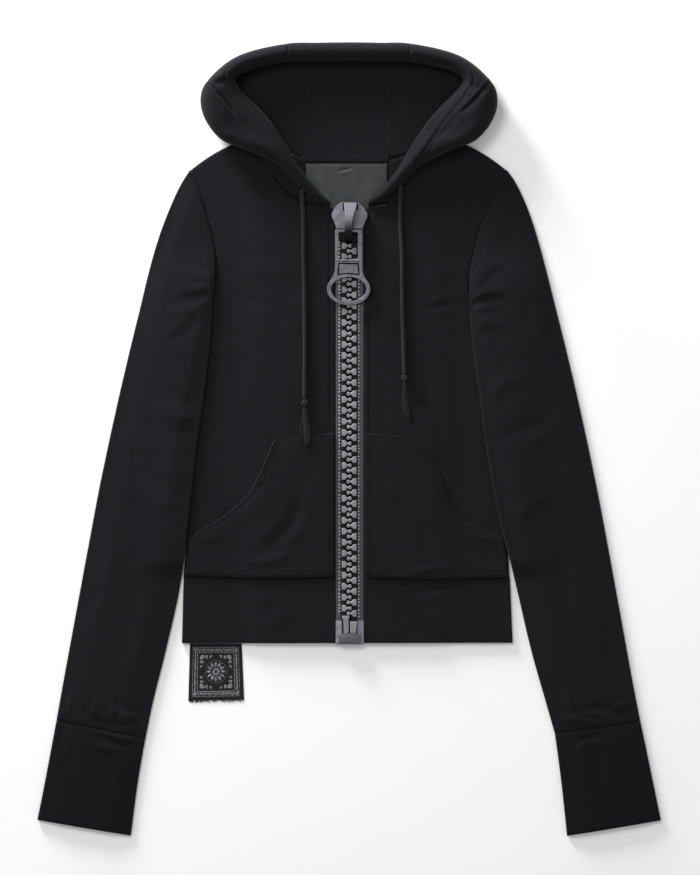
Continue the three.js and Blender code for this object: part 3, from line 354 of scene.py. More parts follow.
# A crease eases out over this share of its length, bends by this share of it, and has beside its ridge a
# shallower hollow, so many half widths away
CREASE_EASE = 0.35
CREASE_BEND = 0.12
HOLLOW_AWAY, HOLLOW_SHARE = 1.7, 0.45


def creases(x, y, table):
    """Sum of soft ridges: each is a bell across its line with a fainter hollow beside it, and eases out at
    both ends."""
    total = np.zeros_like(x)
    for crease in table:
        start = np.array(crease["from"], float)
        run = np.array(crease["to"], float) - start
        length = np.hypot(*run)
        along = ((x - start[0]) * run[0] + (y - start[1]) * run[1]) / length**2
        across = ((x - start[0]) * run[1] - (y - start[1]) * run[0]) / length
        bend = crease.get("bend", CREASE_BEND) * length * (along - 0.5) ** 2 * 4.0
        ends = smoothstep(along / CREASE_EASE + 0.2) * smoothstep((1.0 - along) / CREASE_EASE + 0.2)
        bell = np.exp(-((across - bend) / crease["width"]) ** 2)
        hollow = np.exp(-((across - bend - HOLLOW_AWAY * crease["width"]) / crease["width"]) ** 2)
        total += crease["height"] * ends * (bell - HOLLOW_SHARE * hollow)
    return total * looks().crease_height


def waves(x, y, size, seed):
    """Slow uneven swell of the cloth: three sine waves whose phases wander, between -1 and 1."""
    turn = seed * 1.7
    a = np.sin(x / size + 0.8 * np.sin(y / (1.9 * size) + turn) + turn)
    b = np.sin(y / (1.3 * size) + 1.1 * np.sin(x / (2.3 * size) - turn) + 2.0 * turn)
    c = np.sin((x + y) / (1.7 * size) + 0.7 * np.sin((x - y) / (1.5 * size)) + 3.0 * turn)
    return (a + b + c) / 3.0


def pucker(along, distance, seed):
    """Small ripples that a seam draws into knit cloth, fading away from it."""
    ripple = np.sin(along / 2.3 + 1.3 * np.sin(along / 7.1 + seed))
    return 0.16 * (ripple * (0.6 + 0.4 * np.sin(along / 17.0 + seed))) * np.exp(-distance / 6.0)


def groove(distance, depth, width):
    """A stitched line pressed into the cloth: a narrow bell pointing down."""
    return -depth * np.exp(-(distance / width) ** 2)


def front_top(x, y):
    """Upper face of the fronts: flat at side and shoulder, fuller in between, with creases."""
    shoulder = value_at(SHOULDER, np.abs(x))
    inward = smoothstep((FULLNESS_START - np.abs(x)) / FULLNESS_RUN)
    downward = smoothstep((shoulder - y) / SHOULDER_RUN)
    full = inward * downward
    zip_side = smoothstep((np.abs(x) - 26.0) / 26.0)
    swell = (creases(x, y, BODY_CREASES) + 0.22 * waves(x, y, 38.0, 1.0)) * full * zip_side
    return FRONT_LOW + CLOTH + FULLNESS * full + np.clip(swell, -1.6, 1.6)


def grid_faces(rows, columns, wrap=True):
    """Rows, columns and corners of the quads of a grid of points, closed round its columns by wrap."""
    i, j = np.meshgrid(np.arange(rows - 1), np.arange(columns if wrap else columns - 1), indexing="ij")
    here, right = i * columns + j, i * columns + (j + 1) % columns
    return i, j, np.stack([here, right, right + columns, here + columns], -1).reshape(-1, 4)


def closed_faces(rows, columns):
    """Quads of a closed ring of points repeated in rows, and a fan at each end round one of the two points
    that follow the rings."""
    j = np.arange(columns)
    following = (j + 1) % columns
    first = np.full(columns, rows * columns)
    start = np.stack([first, following, j, first], -1)
    end = np.stack([first + 1, first - columns + j, first - columns + following, first + 1], -1)
    return np.concatenate([grid_faces(rows, columns)[2], start, end])


def grid_uv(i, j, across, along):
    """UVs of the quads of a grid, from the arc length at each of its columns and rows."""
    u = np.stack([across[j], across[j + 1], across[j + 1], across[j]], -1)
    v = np.stack([along[i], along[i], along[i + 1], along[i + 1]], -1)
    return np.stack([u, v], -1).reshape(-1, 4, 2)


def wall_mesh(name, outer, inner, wrap=False):
    """Closed wall between two grids of points in millimetres, rows by columns. The faces of the second grid
    are reversed, and strips join the two along their borders. UVs are arc lengths in metres."""
    rows, columns = outer.shape[:2]
    size, top = rows * columns, (rows - 1) * columns
    i, j, face = grid_faces(rows, columns, wrap)
    across = np.concatenate([[0.0], np.cumsum(np.linalg.norm(np.diff(outer, axis=1), axis=2).mean(axis=0))])
    across = np.append(across, across[-1] + np.linalg.norm(outer[:, 0] - outer[:, -1], axis=1).mean())
    along = np.concatenate([[0.0], np.cumsum(np.linalg.norm(np.diff(outer, axis=0), axis=2).mean(axis=1))])
    first = np.arange(columns if wrap else columns - 1)
    last = (first + 1) % columns
    strips = [np.stack([size + first, size + last, last, first], -1),
              np.stack([top + first, top + last, size + top + last, size + top + first], -1)]
    if not wrap:
        line = np.arange(rows - 1) * columns
        end = line + columns - 1
        strips += [np.stack([line, line + columns, size + line + columns, size + line], -1),
                   np.stack([size + end, size + end + columns, end + columns, end], -1)]
    border = np.concatenate(strips)
    uv = grid_uv(i, j, across, along)
    uv = np.concatenate([uv, uv[:, ::-1], np.zeros((len(border), 4, 2))])
    points = np.concatenate([outer.reshape(-1, 3), inner.reshape(-1, 3)])
    return mesh_object(name, points, np.concatenate([face, size + face[:, ::-1], border]), uv * MM)


def slab(name, x, y, top, low):
    """A wall between two heights over one grid of plan points."""
    upper, lower = (np.stack([x, y, np.broadcast_to(z, x.shape)], -1) for z in (top, low))
    return wall_mesh(name, upper, lower)


def placed(name, data):
    """A new object in the scene."""
    piece = bpy.data.objects.new(name, data)
    bpy.context.scene.collection.objects.link(piece)
    return piece


def mesh_object(name, points, faces, uv=None, smooth=True):
    """A mesh object from points in millimetres and faces of four corners, turned so that they point
    outward. A face whose last corner is its first one again is a triangle."""
    points = points * MM
    corners = points[faces]
    volume = sum(np.einsum("ij,ij->i", corners[:, 0], np.cross(corners[:, k], corners[:, k + 1])).sum()
                 for k in (1, 2))
    if volume < 0:
        faces = faces[:, ::-1]
        uv = None if uv is None else uv[:, ::-1]
    mesh = bpy.data.meshes.new(name)
    polygons = [face[:3] if face[-1] == face[0] else face for face in faces.tolist()]
    mesh.from_pydata(points.tolist(), [], polygons)
    if uv is not None:
        real = np.ones(faces.shape, bool)
        real[:, -1] = faces[:, -1] != faces[:, 0]
        layer = mesh.uv_layers.new(name="UVMap")
        layer.data.foreach_set("uv", uv[real].ravel())
    mesh.polygons.foreach_set("use_smooth", np.full(len(mesh.polygons), smooth))
    mesh.update()
    return placed(name, mesh)


def dress(piece, material, slot, *nodes, body=BODY):
    """Gives a piece its material, lets it ride on its body, and hides the nodes it replaces. Its slot is not
    used.
    """
    piece.data.materials.append(material)
    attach(piece, body)
    if nodes:
        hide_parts(*nodes)
    return piece


def bowed_grid(table, edge, columns, rows):
    """Plan of a panel: straight rows from the named edge to the front, bent along Y by four t times one
    less t."""
    (edges, fronts, bows), _ = rows_between(table, [edge, "front", "bow"], rows)
    t = edge_steps(columns)[None, :, None]
    plan = edges[:, None] * (1 - t) + fronts[:, None] * t
    plan[..., 1] += bows * 4.0 * t[..., 0] * (1 - t[..., 0])
    return plan[..., 0], plan[..., 1]


def side_line(side, rows=slice(None)):
    """The side seam and armhole of a front, as pairs of Y and X."""
    return [(row["side"][1], row["side"][0]) for row in FRONT_ROWS[side][rows]]


def travelled(x, y, axis):
    """Distance along the grid lines of one axis, from the first point of each line."""
    steps = [np.diff(part, axis=axis, prepend=np.take(part, [0], axis=axis)) for part in (x, y)]
    return np.cumsum(np.hypot(*steps), axis=axis)


def edge_distances(x, y):
    """Distance of each grid point from the first and last column and from the first and last row."""
    across, along = travelled(x, y, 1), travelled(x, y, 0)
    return across, across[:, -1:] - across, along, along[-1:] - along


def front_panel(side, material):
    """A front: the upper face dips at every seam, and has a pressed line beside the zip and the neck."""
    x, y = bowed_grid(FRONT_ROWS[side], "side", 96, 220)
    from_side, from_front, from_hem, from_shoulder = edge_distances(x, y)
    top = front_top(x, y)
    for distance in (from_side, from_hem, from_shoulder):
        top += groove(distance, *SEAM_DIP)
    top += groove(from_front, 0.6, 1.0) + groove(from_front - STITCH_FROM_ZIP, 0.9, 1.0)
    top += (pucker(y, from_front, 1.0 + SIDES[side]) + pucker(x, from_hem, 2.0)
            + pucker(y, from_side, 3.0) * 0.6)
    low = np.minimum(front_top(x, y), top + 0.6) - CLOTH
    piece = dress(slab(f"front_{side}_cloth", x, y, top, low), material, "fleece", f"front_{side}")


def back_panel(material):
    """The back, flat on the surface: columns run from the waist seam up to the shoulder or neckline."""
    s = np.linspace(-1.0, 1.0, 81)[None, :]
    v = edge_steps(60)[:, None]
    shoulder_x, shoulder_y = SHOULDER[-1]
    y = WAIST_SEAM_Y * (1 - v) + value_at(BACK_TOP, np.abs(s * shoulder_x)) * v
    level = (WAIST_SEAM_Y - 0.1) * (1 - v) + shoulder_y * v
    left, right = (value_at(side_line(side), level) - sign * 1.2 for side, sign in SIDES.items())
    across = (s + 1.0) / 2.0
    x = left * (1 - across) + right * across
    piece = slab("back_cloth", x, np.broadcast_to(y, x.shape), CLOTH, 0.0)
    dress(piece, material, "fleece", "back_panel")


# A sleeve lies over the body below the armhole. Its lower layer steps up within a short run, and its upper
# layer drapes over a long one.
SIDE_ROWS = 8
SIDE_TOP, CUFF_CLEAR = 160.0, -175.0
LIFT_OUTSIDE = 27.0
SHORT_RUN = {"across": 16.0, "top": 212.0, "along": 16.0}
LONG_RUN = {"across": 62.0, "start": 46.0, "top": 246.0, "along": 64.0}


def sleeve_floor(side, x, y, height):
    """How far a sleeve is lifted at each plan point and height, by where it lies over the body."""
    pairs = [(seam_y, abs(seam_x)) for seam_y, seam_x in side_line(side, slice(SIDE_ROWS))]
    past = value_at(pairs, np.minimum(y, SIDE_TOP)) + LIFT_OUTSIDE - np.abs(x)
    short = smoothstep(past / SHORT_RUN["across"]) * smoothstep((SHORT_RUN["top"] - y) / SHORT_RUN["along"])
    long = (smoothstep((past + LONG_RUN["start"]) / LONG_RUN["across"])
            * smoothstep((LONG_RUN["top"] - y) / LONG_RUN["along"]))
    upper = smoothstep((height - FOLD_RADIUS) / FOLD_RADIUS)
    return OVER_BODY * (short + (long - short) * upper) * smoothstep((y - CUFF_CLEAR) / 25.0)


def tube_section(width, full, inset, columns):
    """Section of a pressed tube: straight layers with a round fold at each edge, and a swell on top. Returns
    the distance across from the outer edge, the height, and how much of the relief each point takes."""
    radius = FOLD_RADIUS - inset
    turn = np.radians(np.linspace(-90.0, 90.0, 13))[None, :]
    share = edge_steps(columns)[1:-1][None, :]
    width, full = width[:, None], full[:, None]
    inner_fold = width - FOLD_RADIUS + radius * np.cos(turn)
    outer_fold = FOLD_RADIUS - radius * np.cos(turn) + 0.0 * width
    run = FOLD_RADIUS + share * (width - 2.0 * FOLD_RADIUS)
    swell = smoothstep(np.minimum(run, width - run) / 34.0) * FULLNESS * full
    rise = FOLD_RADIUS + radius * np.sin(turn) + 0.0 * width
    top = FOLD_RADIUS + radius + swell
    floor = np.full_like(run, FOLD_RADIUS - radius)
    along = np.concatenate([inner_fold, run[:, ::-1], outer_fold[:, ::-1], run], axis=1)
    height = np.concatenate([rise, top[:, ::-1], rise[:, ::-1], floor], axis=1)
    fade = smoothstep(np.minimum(run, width - run) / 14.0)
    none = np.zeros_like(rise)
    relief = np.concatenate([none, fade[:, ::-1], none, np.zeros_like(run)], axis=1)
    return along, height, relief


def pressed_tube(name, side, table, crease_table, columns, rows, floor, ends, seed):
    """A flattened tube lofted through the table's sections, with creases on its upper layer. ends gives
    the depth of the dip at the first and at the last ring."""
    (outer, inner, bend, full), at = rows_between(table, ["outer", "inner", "bend", "full"], rows)
    width = np.linalg.norm(inner - outer, axis=1)
    armhole = side_line(side, slice(ARMHOLE_FIRST_ROW, None))
    first = (np.array(table[0]["outer"]), np.array(table[0]["inner"]))
    walls = []
    for inset in (0.0, CLOTH):
        along, height, relief = tube_section(width, full[:, 0], inset, columns)
        t = (along / width[:, None])[..., None]
        plan = outer[:, None] * (1 - t) + inner[:, None] * t
        chord = first[0] * (1 - t) + first[1] * t
        gap = SIDES[side] * SEAM
        bow = (value_at(armhole, chord[..., 1]) + gap - chord[..., 0]) * bend
        x, y = plan[..., 0] + bow, plan[..., 1]
        swell = creases(x, y, crease_table) + 0.4 * waves(x, y, 27.0, seed)
        z = height + floor(x, y, height) + np.clip(swell, -1.0, 1.6) * relief
        from_start, from_end = at[:, None] - at[0], at[-1] - at[:, None]
        upward = (height > FOLD_RADIUS).astype(float)
        if inset == 0.0:
            z += (groove(from_start, ends[0], 2.4) + groove(from_end, ends[1], 2.4)) * upward
            z += (pucker(along, from_start, seed) + pucker(along, from_end, seed + 1.0)) * relief
        walls.append(np.stack([x, y, z], -1))
    return wall_mesh(name, walls[0], walls[1], wrap=True)


def sleeve(side, material):
    """A sleeve: pressed tube from the armhole to the cuff seam, lying partly over the body."""
    piece = pressed_tube(f"sleeve_{side}_cloth", side, SLEEVE_ROWS[side], SLEEVE_CREASES[side], 50, 190,
                         lambda x, y, height: sleeve_floor(side, x, y, height), (1.3, 0.9), 2.0 + SIDES[side])
    dress(piece, material, "fleece", f"sleeve_{side}")


def cuff(side, material):
    """A cuff: doubled tube, open at its end."""
    piece = pressed_tube(f"cuff_{side}_cloth", side, CUFF_ROWS[side], CUFF_CREASES[side], 46, 50,
                         lambda x, y, height: 0.0 * x, (0.9, 0.5), 5.0 + SIDES[side])
    dress(piece, material, "fleece", f"cuff_{side}")


def pocket_top(x, y):
    """Upper face of a pocket, apart from its bulge and its seams."""
    return front_top(x, y) + POCKET_GAP + CLOTH


def pocket(side, material):
    """A kangaroo pocket on the front's own surface, with a turned and double stitched mouth."""
    x, y = bowed_grid(POCKET_ROWS[side], "mouth", 80, 110)
    from_mouth, _, from_hem, from_top = edge_distances(x, y)
    slanted = smoothstep((y + 134.0) / 10.0)
    top = pocket_top(x, y) + 0.7 * np.exp(-((from_mouth - 26.0) / 22.0) ** 2) * slanted
    top += groove(from_mouth, 1.0, 1.2) + groove(from_top, 1.0, 1.2) + groove(from_hem, *SEAM_DIP)
    first, second = MOUTH_STITCHES
    top += (groove(from_mouth - first, 0.5, 1.0) + groove(from_mouth - second, 0.4, 1.0)) * slanted
    top += groove(from_top - 4.0, 0.4, 1.0) + pucker(x - y, from_mouth, 4.0) + pucker(x, from_hem, 6.0)
    low = np.minimum(front_top(x, y) + POCKET_GAP, top - 0.8)
    piece = dress(slab(f"pocket_{side}_cloth", x, y, top, low), material, "fleece", f"pocket_{side}")


HEM_DEPTH = 84.0


def hem_band(material):
    """The hem band: one strip from a zip edge out to a side fold, under the body, and back to the zip."""
    v = edge_steps(40)[:, None]
    (left, left_y), (right, right_y) = ([HEM_SEAM[side][k] * (1 - v) + HEM_EDGE[side][k] * v for k in (0, 1)]
                                        for side in SIDES)
    turn = np.radians(np.linspace(-90.0, 90.0, 13))[None, 1:-1]
    share = edge_steps(96)[None, :]
    n = share.shape[1]
    left_fold, right_fold = left + FOLD_RADIUS, right - FOLD_RADIUS
    walls = []
    for inset in (0.0, CLOTH):
        radius = FOLD_RADIUS - inset
        x = np.concatenate([
            TAPE_EDGE["left"] * (1 - share) + left_fold * share,
            left_fold - radius * np.cos(turn[:, ::-1]),
            left_fold * (1 - share) + right_fold * share,
            right_fold + radius * np.cos(turn),
            right_fold * (1 - share) + TAPE_EDGE["right"] * share,
        ], axis=1)
        across = (x - left) / (right - left)
        dip = HEM_SEAM["drop"] * np.sin(np.pi * np.abs(across - 0.5) * 2.0) * (1 - v)
        y = left_y * (1 - across) + right_y * across - dip + WAIST_OVERLAP * (1 - v)
        from_seam, from_hem = v * HEM_DEPTH + 0.0 * x, (1 - v) * HEM_DEPTH + 0.0 * x
        from_middle = np.abs(x)
        swell = (0.35 * waves(x, y, 21.0, 7.0) * smoothstep((from_middle - 24.0) / 20.0)
                 * smoothstep((190.0 - from_middle) / 20.0))
        top = np.maximum(front_top(x, y), 2.0 * FOLD_RADIUS) + swell - inset
        if inset == 0.0:
            top += groove(from_seam, 0.9, 2.4) + groove(from_hem, 0.4, 1.4)
            top += pucker(x, from_seam, 8.0) + groove(from_middle - 24.6, 0.35, 0.9)
        rise = FOLD_RADIUS + radius * np.sin(turn) + 0.0 * v
        flat = np.full((len(v), n), inset)
        z = np.concatenate([top[:, :n], rise[:, ::-1], flat, rise, top[:, -n:]], axis=1)
        walls.append(np.stack([x, y, z], -1))
    piece = dress(wall_mesh("hem_band_cloth", *walls), material, "fleece", "hem_band")


def hood_section(station, steps):
    """Middle line of one hood section: a straight run from the neck, half a turn at the fold, and a run
    back to the rim whose height falls with the square of the way."""
    neck, mid, rim = (np.array(station[name]) for name in ("neck", "mid", "rim"))
    fold, top, low = np.array(station["fold"]), station["top"], mid[2]
    if low < CLOTH:
        neck = neck + np.array([*(unit(neck[:2] - mid[:2]) * NECK_TUCK), -0.3])
    reach, back = np.linalg.norm(rim[:2] - fold), np.linalg.norm(mid[:2] - fold)
    depth = min((top - low) * 0.55, reach * 0.45, back * 0.9)
    to_mid, to_rim = (mid[:2] - fold) / back, (rim[:2] - fold) / reach
    angle = np.radians(np.linspace(-90.0, 90.0, steps))[:, None]
    share = (np.sin(angle) + 1.0) / 2.0
    plan = fold + depth * (1.0 - np.cos(angle)) * (to_mid * (1 - share) + to_rim * share)
    turn = np.concatenate([plan, low * (1 - share) + top * share], axis=1)
    t = np.linspace(0.0, 1.0, steps)[:-1, None]
    floor = np.where(t < 0.5, neck * (1 - 2 * t) + mid * 2 * t, mid * (2 - 2 * t) + turn[0] * (2 * t - 1))
    t = np.linspace(0.0, 1.0, steps)[1:, None]
    over = np.concatenate([turn[-1, :2] * (1 - t) + rim[:2] * t, top * (1 - t * t) + rim[2] * t * t], axis=1)
    return np.concatenate([floor, turn, over])


def hood_surface(steps, per_station):
    """Middle surface of the whole hood, from one end at the zip to the other: each column of the stations'
    sections is joined by a cubic curve, and the right half is mirrored to the left."""
    sections = np.array([hood_section(station, steps) for station in HOOD_STATIONS])
    mirrored = sections[-2::-1] * np.array([-1.0, 1.0, 1.0])
    sections = np.concatenate([sections, mirrored])
    gaps = np.sqrt(np.linalg.norm(np.diff(sections, axis=0), axis=2).mean(axis=1))
    knots = np.concatenate([[0.0], np.cumsum(gaps)])
    spans = len(gaps)
    at = np.interp(np.linspace(0, spans, spans * per_station + 1), np.arange(spans + 1), knots)
    flat = curve_through(knots, sections.reshape(len(sections), -1), at, monotone=False)
    return flat.reshape(len(at), -1, 3)


def surface_normals(surface):
    """Unit normals from the cross product of the two central differences."""
    normal = np.cross(np.gradient(surface, axis=0), np.gradient(surface, axis=1))
    return normal / np.maximum(np.linalg.norm(normal, axis=2, keepdims=True), 1e-9)


# Points in each of the three runs of a section, columns of points from one station to the next, and the
# flat width, length and area of the panels in metres
HOOD_STEPS, HOOD_COLUMNS = 30, 14
SIDE_CUT, CENTRE_CUT = (0.330, 0.165, 0.0305), (0.152, 0.200, 0.0218)
CASING_HEIGHT = 0.9
CROWN_START, CROWN_RUN = 448.0, 16.0


def hood_relief(surface, facing):
    """Height over the hood's middle surface: a fuller drawcord casing at the rim behind a stitched line, and
    soft creases from the lobes towards the zip, where the surface faces up."""
    distance = np.cumsum(np.linalg.norm(np.diff(surface, axis=1, prepend=surface[:, :1]), axis=2), axis=1)
    from_rim = distance[:, -1:] - distance
    length = np.linalg.norm(np.diff(surface[:, -1], axis=0, prepend=surface[:1, -1]), axis=1)
    along = np.cumsum(length)[:, None]
    near_zip = np.minimum(along, along[-1] - along)
    x, y, z = surface[..., 0], surface[..., 1], surface[..., 2]
    width = np.minimum(CASING_WIDTH, distance[:, -1:] * 0.42)
    casing = CASING_HEIGHT * smoothstep((width - from_rim) / 3.0) * smoothstep(from_rim / 2.0 + 0.1)
    crown = smoothstep((y - CROWN_START) / CROWN_RUN)
    rim = (casing + groove(from_rim - width, 0.9, 1.1)) * (1.0 - 0.8 * crown)
    relief = rim + groove(from_rim - 3.0, 0.25, 0.8)
    folds = (creases(x, y, HOOD_CREASES["right"] + HOOD_CREASES["left"])
             + 0.4 * waves(along + 0.0 * distance, distance * 1.6, 19.0, 9.0))
    relief += smoothstep((z - 4.0) / 8.0) * smoothstep(near_zip / 60.0) * facing * folds
    return relief + groove(distance, 0.5, 2.0)


def hood(material):
    """Three hood panels one cloth thick, cut from one surface at its seams."""
    surface = hood_surface(HOOD_STEPS, HOOD_COLUMNS)
    normal = surface_normals(surface)
    sign = -1.0 if normal[len(normal) // 2, -3, 2] < 0 else 1.0
    relief = hood_relief(surface, np.clip(1.6 * sign * normal[..., 2], 0.0, 1.0))
    outer = surface + normal * (sign * (CLOTH / 2 + relief))[..., None]
    inner = surface + normal * (sign * (np.minimum(relief, 0.0) - CLOTH / 2))[..., None]
    for wall in (outer, inner):
        wall[..., 2] = np.maximum(wall[..., 2], 0.0)
    seam, end = HOOD_SEAM_STATION * HOOD_COLUMNS, len(surface) - 1
    panels = listed(
        "name first last cut",
        ("right", 0, seam, SIDE_CUT),
        ("centre", seam, end - seam, CENTRE_CUT),
        ("left", end - seam, end, SIDE_CUT),
    )
    for panel in panels:
        keep = slice(panel["first"], panel["last"] + 1)
        walls = outer[keep].copy(), inner[keep].copy()
        for wall in walls:
            wall[0] += SEAM * unit(wall[1] - wall[0]) * (panel["first"] > 0)
            wall[-1] += SEAM * unit(wall[-2] - wall[-1]) * (panel["last"] < end)
        name = f"hood_{panel['name']}"
        piece = dress(wall_mesh(f"{name}_cloth", *walls), material, "fleece", name)


def unit(vectors):
    return vectors / np.maximum(np.linalg.norm(vectors, axis=-1, keepdims=True), 1e-9)


# Trims at the back of the neck and under the hem: corner points, from one side to the other
PATCH_CORNERS = [(-53.8, 284.0), (47.5, 284.0), (47.5, 343.4), (-53.8, 343.4)]
NECK_TAPE_CORNERS = [(-58.0, 345.9), (48.4, 345.9), (50.0, 353.6), (-60.0, 353.6)]
LABEL_CORNERS = [(-200.8, -327.4), (-131.2, -326.1), (-134.0, -256.0), (-198.8, -256.0)]
TRIM_THICKNESS = 0.9
PATCH_CREASES = listed(
    "from to height width bend",
    ((-15, 334), (4, 338), -1, 1.9, 0), ((-40, 330), (-20, 300), 0.3, 6, 0.12),
    ((34, 330), (24, 292), 0.3, 7, 0.12),
)
LABEL_CREASES = listed(
    "from to height width",
    ((-196, -286), (-150, -280), 0.4, 6), ((-176, -262), (-180, -322), 0.3, 9),
)


def bilinear(corners, u, v):
    """Points of a straight-sided quadrilateral, u of the way across and v of the way up."""
    a, b, c, d = (np.array(corner) for corner in corners)
    return (a * (1 - u) + b * u) * (1 - v) + (d * (1 - u) + c * u) * v


def flat_trim(name, corners, floor, crease_table, columns, rows):
    """A thin slab over a straight-sided quadrilateral, with soft creases."""
    plan = bilinear(corners, edge_steps(columns)[None, :, None], edge_steps(rows)[:, None, None])
    x, y = plan[..., 0], plan[..., 1]
    nearest = np.min(edge_distances(x, y), axis=0)
    top = floor + TRIM_THICKNESS + creases(x, y, crease_table) * smoothstep(nearest / 5.0)
    top = top + groove(nearest, 0.4, 0.8) + groove(nearest - 2.6, 0.18, 0.5)
    return slab(name, x, y, top, floor)


def neck_trims(fleece, patch_cloth):
    """The tape over the back neck seam, and the plain satin patch under it."""
    tape = flat_trim("neck_tape_cloth", NECK_TAPE_CORNERS, FRONT_LOW, [], 90, 14)
    dress(tape, fleece, "fleece", "neck_tape")
    patch = flat_trim("neck_patch_cloth", PATCH_CORNERS, FRONT_LOW, PATCH_CREASES, 90, 60)
    dress(patch, patch_cloth, "patch_cloth", "neck_patch")


# Ornament of the hem label, as fractions of its width and height, with widths in millimetres
BORDER_INSETS = [0.07, 0.155]
BORDER_COUNT = 22
ROSETTE = listed(
    "petals from to width turn",
    (12, 0.085, 0.175, 3.4, 0.0), (8, 0.022, 0.078, 2.8, 0.2), (24, 0.188, 0.205, 1.3, 0.1),
)
CORNER_LEAVES = listed(
    "at length width turns",
    ((0.215, 0.215), 0.085, 3.2, (10.0, 45.0, 80.0)), ((0.3, 0.235), 0.06, 2.4, (-25.0, 30.0)),
    ((0.235, 0.3), 0.06, 2.4, (60.0, 115.0)), ((0.39, 0.215), 0.045, 2.0, (0.0, 70.0)),
    ((0.215, 0.39), 0.045, 2.0, (20.0, 90.0)),
)
FRAY_COUNT = 150


def label_point(points):
    """Places points given as fractions of the label onto its face."""
    return bilinear(LABEL_CORNERS, points[..., :1], points[..., 1:2])


def leaf(start, reach, width):
    """A filled leaf: a straight mark whose width rises and falls with the sine of the way along it."""
    t = np.linspace(0.0, 1.0, 9)
    path = np.array(start) + np.array(reach) * t[:, None]
    return path, 0.25 + (width - 0.25) * np.sin(np.pi * t) ** 0.8


def woven_marks():
    """Marks of the ornament, each a path and its widths: a border of lozenges between two lines, a rosette
    of three rings of petals, and leaves that fill the four corners."""
    marks = []
    t = np.linspace(0.0, 1.0, 25)[:, None]
    for inset, width in zip(BORDER_INSETS, (0.6, 0.9)):
        far = 1 - inset
        box = np.array([[inset, inset], [far, inset], [far, far], [inset, far], [inset, inset]])
        marks += [(box[k] * (1 - t) + box[k + 1] * t, np.full(25, width)) for k in range(4)]
    level = sum(BORDER_INSETS) / 2.0
    for place in np.linspace(0.1, 0.9, BORDER_COUNT):
        for x, y in ((place, level), (place, 1 - level), (level, place), (1 - level, place)):
            lean = 0.012 if (x + y) % 0.1 < 0.05 else -0.012
            marks.append(leaf((x - lean, y - 0.027), (2 * lean, 0.054), 1.9))
    for ring in ROSETTE:
        for angle in np.arange(ring["petals"]) * 2.0 * np.pi / ring["petals"] + ring["turn"]:
            way = np.array([math.cos(angle), math.sin(angle)])
            marks.append(leaf(0.5 + way * ring["from"], way * (ring["to"] - ring["from"]), ring["width"]))
    for flip in ((False, False), (False, True), (True, False), (True, True)):
        for leaves in CORNER_LEAVES:
            for turn in np.radians(leaves["turns"]):
                way = np.array([math.cos(turn), math.sin(turn)])
                path, width = leaf(leaves["at"], leaves["length"] * way, leaves["width"])
                marks.append((np.where(flip, 1.0 - path, path), width))
    return marks


def ribbon_arrays(path, width, z):
    """Two rows of points beside a path in the plane, joined by quads, with a raised middle row."""
    along = np.gradient(path, axis=0)
    side = unit(np.stack([-along[:, 1], along[:, 0]], -1)) * np.reshape(width, (-1, 1)) / 2.0
    heights = np.full((len(path), 1), z)
    lifts = {-1: 0.0, 0: 0.12, 1: 0.0}
    rows = [np.concatenate([path + side * k, heights + lift], 1) for k, lift in lifts.items()]
    points = np.concatenate(rows)
    n, i = len(path), np.arange(len(path) - 1)
    faces = [np.stack([i + k * n, i + 1 + k * n, i + 1 + (k + 1) * n, i + (k + 1) * n], -1) for k in (0, 1)]
    return points, np.concatenate(faces)


def merged(parts):
    """Joins several (points, faces) pairs into one pair."""
    offsets = np.cumsum([0] + [len(points) for points, _ in parts[:-1]])
    points = np.concatenate([points for points, _ in parts])
    return points, np.concatenate([faces + offset for (_, faces), offset in zip(parts, offsets)])


def hem_label(ground, thread):
    """The woven label under the hem, its ornament as raised threads, and a fuzzy lower edge."""
    label = flat_trim("hem_label_cloth", LABEL_CORNERS, 0.0, LABEL_CREASES, 90, 90)
    dress(label, ground, "label_cloth", "hem_label")
    parts = []
    for path, width in woven_marks():
        points, faces = ribbon_arrays(label_point(path), width, 0.0)
        relief = creases(points[:, 0], points[:, 1], LABEL_CREASES)
        points[:, 2] += TRIM_THICKNESS + 0.06 + relief
        parts.append((points, faces))
    ornament = dress(mesh_object("label_ornament", *merged(parts)), thread, "label_cloth")
    ornament.modifiers.new("thread", "SOLIDIFY").thickness = 0.1 * MM
    random = np.random.default_rng(11)
    starts = np.sort(random.uniform(0.01, 0.99, FRAY_COUNT))
    lengths, leans = random.uniform(0.8, 3.4, FRAY_COUNT), random.uniform(-1.6, 1.6, FRAY_COUNT)
    t = np.linspace(0.0, 1.0, 6)[:, None]
    strands = []
    for start, length, lean in zip(starts, lengths, leans):
        root = label_point(np.array([[start, 0.004]]))[0]
        path = np.concatenate([root[0] + lean * t**2, root[1] - length * t, 0.45 - 0.15 * t], axis=1)
        strands.append(tube_arrays(path, np.full(6, 0.2), 5))
    dress(mesh_object("label_fray", *merged(strands)), ground, "label_cloth")


def frames_along(path):
    """Two unit vectors square to the path at each point: the first is level, which no path here makes
    impossible, since none runs straight up."""
    tangent = unit(np.gradient(path, axis=0))
    side = unit(np.cross(tangent, [0.0, 0.0, 1.0]) + 1e-9)
    return side, np.cross(side, tangent)


def tube_arrays(path, radius, sides, relief=None):
    """A tube round a path with closed ends. relief adds to the radius at each (step, side)."""
    angle = np.linspace(0.0, 2.0 * np.pi, sides, endpoint=False)[None, :, None]
    side, up = frames_along(path)
    reach = radius[:, None] + (0.0 if relief is None else relief)
    ring = side[:, None] * np.cos(angle) + up[:, None] * np.sin(angle)
    body = path[:, None] + ring * (reach + 0.0 * angle[..., 0])[..., None]
    return np.concatenate([body.reshape(-1, 3), path[:1], path[-1:]]), closed_faces(len(path), sides)


